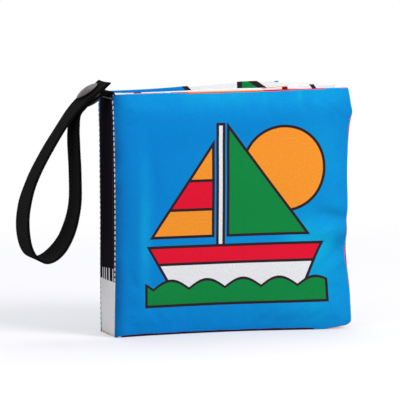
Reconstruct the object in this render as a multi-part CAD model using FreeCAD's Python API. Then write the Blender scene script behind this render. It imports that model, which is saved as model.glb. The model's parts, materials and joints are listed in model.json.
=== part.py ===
"""Cloth crinkle book for a pram: two padded covers, a spine, three soft leaves with crackling
film sewn inside them, and a webbing strap that closes on itself with a plastic press stud.

Frame: +X runs from the spine to the fore-edge, +Y from the front cover to the back cover, +Z up.
The origin is the middle of the book's foot. All lengths are in millimetres.
"""

import FreeCAD
import Part
import math
import os

V = FreeCAD.Vector

# Book
BOOK_WIDTH = 127.0
BOOK_HEIGHT = 126.0
BOOK_THICK = 29.5
FOLD_GAP = 0.3                 # free cloth left between a cover and the spine at each fold

# Covers
COVER_THICK = 3.6
COVER_EDGE_THICK = 1.2         # where the two cloths are sewn and turned
COVER_ROLL = 13.0              # width over which a cover swells from its seam
COVER_SET_IN = 0.4             # cover's fold edge to the fold line
FRONT_SHORT = 0.8              # the front cover's fore-edge inside the book's width
FRONT_DISH = 2.6               # how far its foot leans in beside the spine
FRONT_DISH_RUN = 95.0
FRONT_FLARE = 7.0              # and out again at the fore-edge
FRONT_FLARE_RUN = 51.0
FRONT_CORNER_LIFT = 2.3
FRONT_CORNER_RUN = 44.0
FORE_EDGE_EAR = 2.4            # a soft ear below the top corner
FORE_EDGE_EAR_DROP = 13.0
FORE_EDGE_EAR_RUN = 8.0
FORE_EDGE_DIP = 1.6            # and a shallow dip below the middle
FORE_EDGE_DIP_HEIGHT = 40.0
FORE_EDGE_DIP_RUN = 14.0
BACK_SHORT = 3.5               # the back cover's fore-edge inside the book's width
BACK_BULGE = 3.2
BACK_CROWN = 3.0               # rise of the back cover's top edge
BACK_CROWN_AT = 87.0           # its peak, from the fold
BACK_CROWN_RUN = 38.0

# Spine
SPINE_THICK = 2.6
SPINE_DROP = 0.3               # its top edge below the covers'
SPINE_ROUND = 0.6
SPINE_WALL = 0.5               # outer cloth over the strap's tab

# Leaves
LEAF_COUNT = 3
LEAF_SHORT = 2.2               # the middle leaf's fore-edge inside the book's width
LEAF_DROP = 0.6                # the leaves' top edge below the covers'
LEAF_THICK = 2.6
LEAF_EDGE_THICK = 1.2
LEAF_ROLL = 9.0
LEAF_FAN = 1.6                 # how much wider the leaves stand apart at the fore-edge
LEAF_WAVE = 0.5
LEAF_STAGGER = 1.0             # how much shorter the outer leaves reach
BINDING_DEPTH = 3.4            # strip that gathers the leaves' sewn edges
BINDING_MARGIN = 1.2           # strip beyond the outer leaves

# Crackling film, crumpled to this thickness
FILM_THICK = 0.6
FILM_MARGIN = 6.0              # film's edge to the pouch's edge
FILM_PLAY = 0.2                # free space round the film

# Webbing strap
STRAP_WIDTH = 17.0
STRAP_THICK = 1.1
STRAP_SET_IN = 0.4             # strap's near edge to the spine's front edge
STRAP_TAB = 11.0               # length sewn into the top of the spine
STRAP_BEND = 1.0               # centreline radius over the spine's top edge
STRAP_BEND_TURN = 96.0         # degrees turned there
STRAP_SAG = 15.0               # centreline radius of the stretch that follows
STRAP_SLOPE = 34.5             # degrees below level where the two ends meet
STRAP_LAP = 10.2               # straight stretch under the stud
STRAP_TAIL = 10.7              # free end past the stud's axis
STRAP_HEEL = 6.3               # straight stretch on the other side of the stud's axis
STRAP_STATIONS = 32            # sections that the loop is lofted through
JOIN_TOLERANCE = 0.005         # a face whose middle is this near a join is an end face

# Press stud
CAP_RADIUS = 6.3
CAP_RIM = 1.2                  # height of the rim above the webbing
CAP_DOME = 1.7                 # and of the dome above the rim
CAP_EASE = 0.8                 # the underside clears the webbing by this at the rim
CAP_EASE_FROM = 2.8            # and starts to rise at this radius
POST_RADIUS = 1.2
POST_PLAY = 0.1
RIVET_RADIUS = 1.8
RIVET_THICK = 0.3
SNAP_RADIUS = 5.2              # of the socket and of the stud's flange
SNAP_FLOOR = 0.3               # of both, held by the rivet
SOCKET_THICK = 1.6
STUD_FLANGE = 1.0
NUB_WALL = 0.5
NUB_PLAY = 0.1                 # round the nub in the socket
NUB_END_PLAY = 0.5             # from the nub's tip to the socket's floor
STUD_AXIS_AT = 1.6             # from the start of the straight lap to the stud's axis

# Thread
STITCH_PITCH = 2.7
STITCH_LENGTH = 2.1
STITCH_WIDTH = 0.7
STITCH_THICK = 0.3
STITCH_IN = 0.9                # a fold's row of stitches to the spine's edge
STITCH_END = 2.0               # first stitch above the foot
TACK_PITCH = 1.3
TACK_LENGTH = 1.0
TACK_DROP = 2.0                # the row that holds the strap, below the spine's top

# Stations of the surfaces that are fitted through computed points
COLUMN_COUNT = 19
ROW_COUNT = 19

LEFT = -BOOK_WIDTH / 2
FRONT = -BOOK_THICK / 2
BACK = BOOK_THICK / 2
SPINE_FRONT = FRONT + COVER_EDGE_THICK + FOLD_GAP
SPINE_BACK = BACK - COVER_EDGE_THICK - FOLD_GAP
SPINE_INNER = LEFT + SPINE_THICK
SPINE_TOP = BOOK_HEIGHT - SPINE_DROP
COVER_HEM = SPINE_THICK + FOLD_GAP    # a cover stays thin where it passes the spine
FRONT_WIDTH = BOOK_WIDTH - FRONT_SHORT
BACK_WIDTH = BOOK_WIDTH - BACK_SHORT
LEAF_START = SPINE_INNER + BINDING_DEPTH / 2
LEAF_WIDTH = -LEFT - LEAF_SHORT - LEAF_START
LEAF_HEIGHT = BOOK_HEIGHT - LEAF_DROP
STRAP_MIDDLE = SPINE_FRONT + STRAP_SET_IN + STRAP_WIDTH / 2
STUD_STACK = SOCKET_THICK + STUD_FLANGE
WELL_RADIUS = RIVET_RADIUS + POST_PLAY
NUB_RADIUS = WELL_RADIUS + NUB_WALL
NUB_HEIGHT = SOCKET_THICK - SNAP_FLOOR - NUB_END_PLAY


def swell(distance, roll):
    """0 at a seam, rising to 1 at the roll's width from it."""
    share = min(max(distance / roll, 0.0), 1.0)
    return math.sin(math.pi / 2 * share)


def blend(share):
    share = min(max(share, 0.0), 1.0)
    return share * share * (3.0 - 2.0 * share)


def spread(low, high, count):
    """Stations from low to high that crowd towards both ends."""
    middle, half = (low + high) / 2, (high - low) / 2
    return [middle - half * math.cos(math.pi * i / (count - 1)) for i in range(count)]


def fitted(points):
    surface = Part.BSplineSurface()
    surface.interpolate(points)
    return surface


class Pouch:
    """Two cloths sewn round their edges: a middle surface and a thickness over x and z."""

    def __init__(self, start, width, height, thick, edge, roll, middle,
                 hem=0.0, top=None, side=None, lift=None):
        self.start = start
        self.width = width
        self.height = height
        self.thick = thick
        self.edge = edge
        self.roll = roll
        self.middle = middle
        self.hem = hem
        self.top = top
        self.side = side
        self.lift = lift

    def half(self, across, up):
        """Half the thickness at a distance from the fold edge and a height above the foot."""
        sides = swell(min(across - self.hem, self.width - across), self.roll)
        ends = swell(min(up, self.height - up), self.roll)
        return (self.edge + (self.thick - self.edge) * sides * ends) / 2

    def grid(self, margin, offset):
        """Rows of points up each station across. offset(half) gives the distance from the middle."""
        rows = []
        heights = spread(margin, self.height - margin, ROW_COUNT)
        for across in spread(margin, self.width - margin, COLUMN_COUNT):
            rows.append([self.point(across, up, offset) for up in heights])
        return rows

    def point(self, across, up, offset):
        share = up / self.height
        x = self.start + across
        z = up
        if self.side:
            x += self.side(up) * (across / self.width) ** 3
        if self.top:
            z += self.top(across) * share
        if self.lift:
            z += self.lift(across) * (1.0 - share) ** 2
        return V(x, self.middle(across, share) + offset(self.half(across, up)), z)

    def solid(self, margin=0.0, half=None):
        """The pouch itself or, with a margin and a half thickness, a sheet that lies inside it."""
        near = fitted(self.grid(margin, lambda own: -(own if half is None else half)))
        far = fitted(self.grid(margin, lambda own: own if half is None else half))
        faces = [near.toShape(), far.toShape()]
        for side in range(4):
            edges = [rim(near, side), rim(far, side)]
            flat = side == FOOT and margin == 0.0 and self.lift is None
            faces.append(flat_face(*edges) if flat else Part.makeRuledSurface(*edges))
        return closed(faces)

    def film(self):
        return self.solid(FILM_MARGIN, FILM_THICK / 2)

    def filled_with_film(self):
        """The pouch with the room that its film lies in."""
        room = self.solid(FILM_MARGIN - FILM_PLAY, FILM_THICK / 2 + FILM_PLAY)
        return self.solid().cut(room)


# A pouch's sides in order: its fold edge, its fore-edge, its foot and its top
FOOT = 2


def rim(surface, side):
    low_u, high_u, low_v, high_v = surface.bounds()
    if side < FOOT:
        return surface.uIso((low_u, high_u)[side]).toShape()
    return surface.vIso((low_v, high_v)[side - FOOT]).toShape()


def flat_face(near, far):
    ends = [Part.makeLine(near.valueAt(at), far.valueAt(far_at))
            for at, far_at in zip(near.ParameterRange, far.ParameterRange)]
    return Part.Face(Part.Wire(Part.sortEdges([near, far] + ends)[0]))


def closed(faces):
    shell = Part.makeShell(faces)
    shell.sewShape()
    solid = Part.makeSolid(shell)
    if solid.Volume < 0:
        solid.reverse()
    return solid


def seam_step(across):
    """How far a cover's middle stands in from its fold line's plane, where it thins to the seam."""
    return (COVER_THICK - COVER_EDGE_THICK) / 2 * (1.0 - swell(across - COVER_HEM, COVER_ROLL))


def hump(place, peak, run):
    return math.exp(-((place - peak) / run) ** 2)


def front_pouch():
    def middle(across, share):
        low = (1.0 - share) ** 2
        dish = FRONT_DISH * math.sin(math.pi * min(across / FRONT_DISH_RUN, 1.0)) ** 2
        flare = FRONT_FLARE * blend(1.0 - (FRONT_WIDTH - across) / FRONT_FLARE_RUN)
        return FRONT + COVER_THICK / 2 - seam_step(across) + (dish - flare) * low

    def side(up):
        ear = FORE_EDGE_EAR * hump(up, BOOK_HEIGHT - FORE_EDGE_EAR_DROP, FORE_EDGE_EAR_RUN)
        dip = FORE_EDGE_DIP * hump(up, FORE_EDGE_DIP_HEIGHT, FORE_EDGE_DIP_RUN)
        return ear - dip

    def lift(across):
        return FRONT_CORNER_LIFT * max(0.0, 1.0 - (FRONT_WIDTH - across) / FRONT_CORNER_RUN) ** 3

    return Pouch(LEFT + COVER_SET_IN, FRONT_WIDTH - COVER_SET_IN, BOOK_HEIGHT, COVER_THICK,
                 COVER_EDGE_THICK, COVER_ROLL, middle, hem=COVER_HEM, side=side, lift=lift)


def back_pouch():
    def middle(across, share):
        bulge = BACK_BULGE * math.sin(math.pi * min(across / BACK_WIDTH, 1.0))
        return BACK - COVER_THICK / 2 + seam_step(across) + bulge

    def top(across):
        return BACK_CROWN * hump(across, BACK_CROWN_AT, BACK_CROWN_RUN)

    return Pouch(LEFT + COVER_SET_IN, BACK_WIDTH - COVER_SET_IN, BOOK_HEIGHT, COVER_THICK,
                 COVER_EDGE_THICK, COVER_ROLL, middle, hem=COVER_HEM, top=top)


def leaf_seat(index):
    """The y at which a leaf is sewn in: the leaves share the room between the covers evenly."""
    inner = BOOK_THICK - 2 * COVER_THICK
    return FRONT + COVER_THICK + inner * (index + 1) / (LEAF_COUNT + 1)


def leaf_pouch(index):
    seat = leaf_seat(index)
    outer = index - (LEAF_COUNT - 1) / 2

    def middle(across, share):
        along = across / LEAF_WIDTH
        fan = LEAF_FAN * outer * blend(along)
        wave = LEAF_WAVE * math.sin(2 * math.pi * along) * (-1) ** index
        return seat + fan + wave

    return Pouch(LEAF_START, LEAF_WIDTH - LEAF_STAGGER * abs(outer), LEAF_HEIGHT,
                 LEAF_THICK, LEAF_EDGE_THICK, LEAF_ROLL, middle)


def box(low, high):
    return Part.makeBox(high[0] - low[0], high[1] - low[1], high[2] - low[2], V(*low))


def pages(leaves):
    low = leaf_seat(0) - LEAF_THICK / 2 - BINDING_MARGIN
    high = leaf_seat(LEAF_COUNT - 1) + LEAF_THICK / 2 + BINDING_MARGIN
    binding = box((SPINE_INNER, low, 0.0), (SPINE_INNER + BINDING_DEPTH, high, LEAF_HEIGHT))
    solid = binding.fuse([leaf.solid() for leaf in leaves])
    for leaf in leaves:
        solid = solid.cut(leaf.solid(FILM_MARGIN - FILM_PLAY, FILM_THICK / 2 + FILM_PLAY))
    return solid


def spine():
    panel = box((LEFT, SPINE_FRONT, 0.0), (SPINE_INNER, SPINE_BACK, SPINE_TOP))
    middle = LEFT + SPINE_THICK / 2
    corners = [e for e in panel.Edges if e.BoundBox.ZLength > SPINE_TOP / 2 and e.BoundBox.XMax < middle]
    panel = panel.makeFillet(SPINE_ROUND, corners)
    slot = box((LEFT + SPINE_WALL, STRAP_MIDDLE - STRAP_WIDTH / 2, SPINE_TOP - STRAP_TAB),
               (LEFT + SPINE_WALL + STRAP_THICK, STRAP_MIDDLE + STRAP_WIDTH / 2, SPINE_TOP))
    return panel.cut(slot)


def turned_out(degrees):
    """The direction at an angle from +X towards +Z."""
    angle = math.radians(degrees)
    return V(math.cos(angle), 0, math.sin(angle))


# The strap's centreline runs in the plane y = STRAP_MIDDLE
OUTWARD = turned_out(90.0 + STRAP_SLOPE)              # out of the strap's upper face
ALONG = turned_out(180.0 + STRAP_SLOPE)               # from the spine outwards
BEND_CENTRE = V(LEFT + SPINE_WALL + STRAP_THICK / 2 - STRAP_BEND, STRAP_MIDDLE, SPINE_TOP)
SAG_CENTRE = BEND_CENTRE - turned_out(STRAP_BEND_TURN) * (STRAP_SAG - STRAP_BEND)
LOWER_START = SAG_CENTRE + OUTWARD * STRAP_SAG
LOWER_END = LOWER_START + ALONG * STRAP_LAP
STUD_SEAT = LOWER_START + ALONG * STUD_AXIS_AT + OUTWARD * (STRAP_THICK / 2)
UPPER_AXIS = STUD_SEAT + OUTWARD * (STUD_STACK + STRAP_THICK / 2)
UPPER_START = UPPER_AXIS + ALONG * STRAP_HEEL
UPPER_END = UPPER_AXIS - ALONG * STRAP_TAIL

# The loop between the two straight ends: out from the spine, down from its top, and twist in degrees
LOOP = (
    (18.1, 12.7, 3.5),
    (18.7, 24.7, 6.0),
    (18.1, 41.7, 6.0),
    (18.2, 57.7, 6.0),
    (21.1, 71.7, 7.0),
    (27.3, 81.7, 8.0),
    (35.3, 85.5, 8.5),
    (42.3, 81.1, 8.0),
    (45.8, 70.2, 8.5),
    (45.3, 57.2, 7.0),
    (41.0, 43.7, 2.0),
    (33.6, 29.7, 0.0),
    (24.8, 15.7, 0.0),
    (20.4, 9.1, 0.0),
)


def webbing_section(centre, across, normal):
    corners = [centre - across + normal, centre + across + normal,
               centre + across - normal, centre - across - normal]
    return Part.makePolygon(corners + corners[:1])


def strap_tail():
    """The straight stretch over the stud, up to the free cut end."""
    section = webbing_section(UPPER_START, V(0, STRAP_WIDTH / 2, 0), OUTWARD * (STRAP_THICK / 2))
    return Part.Face(section).extrude(UPPER_END - UPPER_START)


def arc(centre, radius, start, end):
    return Part.Arc(centre + turned_out(start) * radius, centre + turned_out((start + end) / 2) * radius,
                    centre + turned_out(end) * radius).toShape()


def strap_base():
    """The sewn tab, the bend over the spine's top edge, the sag and the straight lap under the stud."""
    half = STRAP_THICK / 2
    top = BEND_CENTRE + V(STRAP_BEND, 0, 0)
    foot = top - V(0, 0, STRAP_TAB)
    slope_turn = 90.0 + STRAP_SLOPE
    sides = []
    for side in (half, -half):
        sides.append([
            Part.makeLine(foot + V(side, 0, 0), top + V(side, 0, 0)),
            arc(BEND_CENTRE, STRAP_BEND + side, 0.0, STRAP_BEND_TURN),
            arc(SAG_CENTRE, STRAP_SAG + side, STRAP_BEND_TURN, slope_turn),
            Part.makeLine(LOWER_START + OUTWARD * side, LOWER_END + OUTWARD * side),
        ])
    ends = [Part.makeLine(foot + V(half, 0, 0), foot - V(half, 0, 0)),
            Part.makeLine(LOWER_END + OUTWARD * half, LOWER_END - OUTWARD * half)]
    profile = Part.Wire(Part.sortEdges(sides[0] + sides[1] + ends)[0])
    body = Part.Face(profile).extrude(V(0, STRAP_WIDTH, 0))
    body.translate(V(0, -STRAP_WIDTH / 2, 0))
    return body


def strap_loop():
    """The hanging loop: a ribbon that follows the centreline and turns a little about the upright."""
    hanging = [V(LEFT - out, STRAP_MIDDLE, SPINE_TOP - down) for out, down, _ in LOOP]
    points = [LOWER_END] + hanging + [UPPER_START]
    twists = [0.0] + [twist for _, _, twist in LOOP] + [0.0]
    line = Part.BSplineCurve()
    line.interpolate(Points=points, InitialTangent=ALONG, FinalTangent=ALONG * -1, Scale=False)
    knots = [line.parameter(point) for point in points]
    sections = []
    for i in range(STRAP_STATIONS + 1):
        at = line.LastParameter * i / STRAP_STATIONS
        span = max(j for j in range(len(knots) - 1) if at >= knots[j])
        share = blend((at - knots[span]) / (knots[span + 1] - knots[span]))
        twist = math.radians(twists[span] + (twists[span + 1] - twists[span]) * share)
        across = V(-math.sin(twist), math.cos(twist), 0) * (STRAP_WIDTH / 2)
        normal = line.tangent(at)[0].cross(across).normalize() * (STRAP_THICK / 2)
        sections.append(webbing_section(line.value(at), across, normal))
    return Part.makeLoft(sections, True)


def sewn_up(lengths, seams):
    """One solid from lengths that meet end to end, without the faces between them."""
    faces = [face for length in lengths for face in length.Faces]

    def is_end(face):
        return any(face.CenterOfMass.distanceToPoint(seam) < JOIN_TOLERANCE for seam in seams)

    return closed([face for face in faces if not is_end(face)])


def strap():
    body = sewn_up([strap_base(), strap_loop(), strap_tail()], [LOWER_END, UPPER_START])
    hole = Part.makeCylinder(POST_RADIUS + POST_PLAY, 2 * STRAP_THICK, V(0, 0, -STRAP_THICK), V(0, 0, 1))
    lower_axis = STUD_SEAT - OUTWARD * (STRAP_THICK / 2)
    return body.cut([on_stud_axis(hole, lower_axis), on_stud_axis(hole, UPPER_AXIS)]).removeSplitter()


def on_stud_axis(shape, seat, flip=False):
    """Sets a shape drawn on +Z from the origin onto the stud's axis, its foot at the seat."""
    direction = OUTWARD * -1 if flip else OUTWARD
    turn = FreeCAD.Rotation(V(0, 0, 1), direction)
    placed = shape.copy()
    placed.Placement = FreeCAD.Placement(seat, turn)
    return placed


def turned(profile):
    """Turns a half outline, given as radius and height, about +Z."""
    points = [V(radius, 0, height) for radius, height in profile]
    return Part.Face(Part.makePolygon(points + points[:1])).revolve(V(0, 0, 0), V(0, 0, 1), 360)


def snap_cap():
    """A domed cap with the post that goes through the webbing and is pressed flat behind the base."""
    reach = STRAP_THICK + SNAP_FLOOR
    dome_radius = (CAP_RADIUS ** 2 + CAP_DOME ** 2) / (2 * CAP_DOME)
    crown = CAP_RIM + CAP_DOME
    arc_middle = math.sqrt(dome_radius ** 2 - (CAP_RADIUS / 2) ** 2) - dome_radius + crown
    outline = Part.Wire([
        Part.Arc(V(0, 0, crown), V(CAP_RADIUS / 2, 0, arc_middle), V(CAP_RADIUS, 0, CAP_RIM)).toShape(),
        Part.makeLine(V(CAP_RADIUS, 0, CAP_RIM), V(CAP_RADIUS, 0, CAP_EASE)),
        Part.makeLine(V(CAP_RADIUS, 0, CAP_EASE), V(CAP_EASE_FROM, 0, 0)),
        Part.makeLine(V(CAP_EASE_FROM, 0, 0), V(POST_RADIUS, 0, 0)),
        Part.makeLine(V(POST_RADIUS, 0, 0), V(POST_RADIUS, 0, -reach)),
        Part.makeLine(V(POST_RADIUS, 0, -reach), V(RIVET_RADIUS, 0, -reach)),
        Part.makeLine(V(RIVET_RADIUS, 0, -reach), V(RIVET_RADIUS, 0, -reach - RIVET_THICK)),
        Part.makeLine(V(RIVET_RADIUS, 0, -reach - RIVET_THICK), V(0, 0, -reach - RIVET_THICK)),
        Part.makeLine(V(0, 0, -reach - RIVET_THICK), V(0, 0, crown)),
    ])
    return Part.Face(outline).revolve(V(0, 0, 0), V(0, 0, 1), 360)


def snap_socket():
    """Drawn with its base at z = 0 and its open mouth up."""
    bore = NUB_RADIUS + NUB_PLAY
    return turned(((POST_RADIUS, 0), (SNAP_RADIUS, 0), (SNAP_RADIUS, SOCKET_THICK),
                   (bore, SOCKET_THICK), (bore, SNAP_FLOOR), (POST_RADIUS, SNAP_FLOOR)))


def snap_stud():
    """A flange with a hollow nub that the socket grips."""
    tip = STUD_FLANGE + NUB_HEIGHT
    return turned(((POST_RADIUS, 0), (SNAP_RADIUS, 0), (SNAP_RADIUS, STUD_FLANGE),
                   (NUB_RADIUS, STUD_FLANGE), (NUB_RADIUS, tip), (WELL_RADIUS, tip),
                   (WELL_RADIUS, SNAP_FLOOR), (POST_RADIUS, SNAP_FLOOR)))


def stitch(length):
    """A length of thread along +Z, drawn against the face x = 0 and standing out towards -X."""
    thick, half = STITCH_THICK, STITCH_WIDTH / 2
    points = [V(0, -half, 0), V(-thick, -half / 2, 0), V(-thick, half / 2, 0), V(0, half, 0)]
    return Part.Face(Part.makePolygon(points + points[:1])).extrude(V(0, 0, length))


def row(one, step, count, start):
    return [one.translated(start + step * i) for i in range(count)]


def fold_count():
    top = SPINE_TOP - TACK_DROP - STITCH_WIDTH
    return int((top - STITCH_END - STITCH_LENGTH) / STITCH_PITCH) + 1


def fold_stitches(y):
    """A running stitch down the spine's outer face beside a fold."""
    start = V(LEFT, y, STITCH_END)
    stitches = row(stitch(STITCH_LENGTH), V(0, 0, STITCH_PITCH), fold_count(), start)
    return Part.makeCompound(stitches)


def strap_tack():
    """A close row of thread that holds the strap's tab in the top of the spine."""
    count = int((STRAP_WIDTH - TACK_LENGTH) / TACK_PITCH) + 1
    one = stitch(TACK_LENGTH)
    one.rotate(V(0, 0, 0), V(1, 0, 0), -90)
    start = STRAP_MIDDLE - ((count - 1) * TACK_PITCH + TACK_LENGTH) / 2
    return Part.makeCompound(row(one, V(0, TACK_PITCH, 0), count, V(LEFT, start, SPINE_TOP - TACK_DROP)))


def main():
    os.makedirs("parts", exist_ok=True)
    front, back = front_pouch(), back_pouch()
    leaves = [leaf_pouch(i) for i in range(LEAF_COUNT)]
    under_cap = STUD_SEAT - OUTWARD * STRAP_THICK
    parts = {
        "front_cover": front.filled_with_film(),
        "front_cover_film": front.film(),
        "back_cover": back.filled_with_film(),
        "back_cover_film": back.film(),
        "spine": spine(),
        "pages": pages(leaves),
        "strap": strap(),
        "snap_cap_outer": on_stud_axis(snap_cap(), UPPER_AXIS + OUTWARD * (STRAP_THICK / 2)),
        "snap_socket": on_stud_axis(snap_socket(), STUD_SEAT + OUTWARD * STUD_STACK, flip=True),
        "snap_stud": on_stud_axis(snap_stud(), STUD_SEAT),
        "snap_cap_inner": on_stud_axis(snap_cap(), under_cap, flip=True),
        "front_fold_stitches": fold_stitches(SPINE_FRONT + STITCH_IN),
        "back_fold_stitches": fold_stitches(SPINE_BACK - STITCH_IN),
        "strap_tack": strap_tack(),
    }
    for i, leaf in enumerate(leaves):
        parts[f"leaf_{i + 1}_film"] = leaf.film()
    for name, shape in parts.items():
        shape.exportStep(f"parts/{name}.step")
        print(f"{name}: {len(shape.Solids)} solids, valid {shape.isValid()}, {shape.Volume:.1f} mm3")


main()
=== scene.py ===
"""Cloth crinkle book: the finished cloth, print, webbing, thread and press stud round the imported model.

Frame, in metres: +X runs from the spine to the fore-edge, +Y from the front cover to the back cover,
+Z up. The origin is the middle of the book's foot.
"""

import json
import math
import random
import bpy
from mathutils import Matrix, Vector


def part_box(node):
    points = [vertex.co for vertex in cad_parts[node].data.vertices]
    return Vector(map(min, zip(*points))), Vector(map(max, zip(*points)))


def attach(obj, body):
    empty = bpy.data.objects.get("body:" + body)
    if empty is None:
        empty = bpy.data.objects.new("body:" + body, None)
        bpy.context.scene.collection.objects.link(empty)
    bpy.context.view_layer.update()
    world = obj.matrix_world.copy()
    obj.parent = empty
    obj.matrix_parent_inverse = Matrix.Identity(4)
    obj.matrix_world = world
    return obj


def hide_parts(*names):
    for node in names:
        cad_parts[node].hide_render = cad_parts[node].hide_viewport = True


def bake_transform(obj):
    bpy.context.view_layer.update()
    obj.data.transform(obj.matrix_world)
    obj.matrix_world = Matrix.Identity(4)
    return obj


bl_info = {
    "name": "Crinkle Book",
    "version": (1, 0, 0),
    "blender": (4, 5, 0),
    "location": "3D View > Sidebar > Crinkle Book",
    "description": "Builds the finished look of a cloth crinkle book with a strap and a press stud",
    "category": "Object",
}

import bmesh
import bpy
import numpy as np
from bpy.props import FloatProperty, FloatVectorProperty, PointerProperty
from mathutils import Matrix, Vector, noise

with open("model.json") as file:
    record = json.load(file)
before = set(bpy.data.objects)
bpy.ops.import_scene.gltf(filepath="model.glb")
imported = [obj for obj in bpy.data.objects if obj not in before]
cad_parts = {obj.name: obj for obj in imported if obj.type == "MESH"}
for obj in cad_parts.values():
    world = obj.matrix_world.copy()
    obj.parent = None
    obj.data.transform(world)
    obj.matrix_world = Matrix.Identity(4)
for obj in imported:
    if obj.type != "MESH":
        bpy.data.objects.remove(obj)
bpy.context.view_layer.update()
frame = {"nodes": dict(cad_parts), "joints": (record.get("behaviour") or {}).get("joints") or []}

MM = 0.001
OUTER, INNER = 0, 1
FRONT_SIDE, BACK_SIDE = -1, 1

SPINE_LOW, SPINE_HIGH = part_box("spine")
PAGES_LOW, PAGES_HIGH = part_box("pages")
CAP_LOW, CAP_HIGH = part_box("snap_cap_outer")
INNER_CAP_LOW, INNER_CAP_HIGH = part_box("snap_cap_inner")

LEFT = SPINE_LOW.x
BOOK_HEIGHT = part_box("front_cover")[1].z
SPINE_TOP = SPINE_HIGH.z
FOLD_Y = -next(j["pos_m"][1] for j in frame["joints"] if j["child"] == "front_cover")
STUD_AXIS = ((CAP_LOW + CAP_HIGH) - (INNER_CAP_LOW + INNER_CAP_HIGH)).normalized()


# --- Sizes and colours that a user would change -------------------------------------------------


def length(name, description, millimetres):
    return FloatProperty(name=name, description=description, default=millimetres * MM, min=0.0,
                         subtype="DISTANCE", unit="LENGTH", precision=5)


def colour(name, description, value):
    return FloatVectorProperty(name=name, description=description, default=value, size=3,
                               min=0.0, max=1.0, subtype="COLOR")


class BookSizes(bpy.types.PropertyGroup):
    cover_thickness: length("Cover thickness", "Thickness of a padded cover at its middle", 3.6)
    hem_thickness: length("Hem thickness", "Thickness of a cover where its cloths are sewn", 0.9)
    cover_roll: length("Cover roll", "Width over which a cover swells from its hem", 13.0)
    leaf_thickness: length("Leaf thickness", "Thickness of a leaf at its middle", 2.6)
    leaf_hem: length("Leaf hem", "Thickness of a leaf beside its seam", 1.0)
    leaf_roll: length("Leaf roll", "Width over which a leaf swells from its seam", 9.0)
    spine_bulge: length("Spine bulge", "How far the spine's outer face stands out at its middle", 0.8)
    strap_width: length("Strap width", "Width of the webbing", 17.0)
    strap_thickness: length("Strap thickness", "Thickness of the webbing", 1.1)
    rib_pitch: length("Rib pitch", "Distance from rib to rib along the webbing", 0.76)
    stitch_pitch: length("Stitch pitch", "Distance from stitch to stitch at the folds", 2.7)
    stitch_length: length("Stitch length", "Visible length of a fold stitch", 2.2)
    thread_width: length("Thread width", "Width of a fold stitch", 0.55)
    print_line: length("Print line", "Width of the printed outlines", 1.45)


class BookColours(bpy.types.PropertyGroup):
    blue: colour("Blue", "Ground of the covers", (0.004, 0.225, 0.630))
    orange: colour("Orange", "Printed orange", (0.900, 0.300, 0.030))
    red: colour("Red", "Printed red, and the ground of the front cover's lining", (0.760, 0.010, 0.035))
    green: colour("Green", "Printed green", (0.008, 0.235, 0.055))
    white: colour("White", "Bare white cloth", (0.800, 0.800, 0.830))
    ink: colour("Ink", "Printed outlines", (0.028, 0.018, 0.024))
    black: colour("Black", "Ground of the spine", (0.0145, 0.0115, 0.0185))
    grey: colour("Pale grey", "Block at the spine's foot", (0.820, 0.810, 0.845))
    webbing: colour("Webbing", "Strap", (0.0140, 0.0136, 0.0140))
    thread: colour("Thread", "Stitches at the folds", (0.860, 0.830, 0.820))
    tack: colour("Tack thread", "Stitches that hold the strap", (0.300, 0.290, 0.310))
    plastic: colour("Plastic", "Press stud", (0.054, 0.047, 0.053))
    # painted shade: the red lining, darkened where it rolls out under the front cover's foot
    shaded_lining_red: colour("Maroon", "Lining under the front cover's foot", (0.050, 0.006, 0.018))
    pink: colour("Pink", "Lining near the front cover's fold", (0.800, 0.260, 0.300))
    # painted highlight: a lighter blue laid where the covers' cloth faces the light
    painted_highlight_blue: colour("Faded blue", "Ground of the covers where it is worn", (0.006, 0.400, 0.720))
    # painted light: a brighter blue towards the front cover's foot
    painted_foot_light: colour("Deep blue", "Ground of the front cover towards its foot", (0.004, 0.241, 0.756))
    # painted shade: a darker blue where the cloth rolls round the fold
    shade: colour("Dark blue", "Ground of the covers where it is rolled at the fold", (0.003, 0.060, 0.230))
    # painted light: a lighter copy of the white, for the back lining, which catches more light
    bright: colour("Bright white", "White of the linings and leaves", (0.880, 0.880, 0.900))
    film: colour("Film", "Crackling film", (0.700, 0.720, 0.750))


def sizes():
    return bpy.context.scene.crinkle_book_sizes


def colours():
    return bpy.context.scene.crinkle_book_colours


# --- Node trees ---------------------------------------------------------------------------------


def flat(colour_value):
    return (*colour_value, 1.0)


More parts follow.
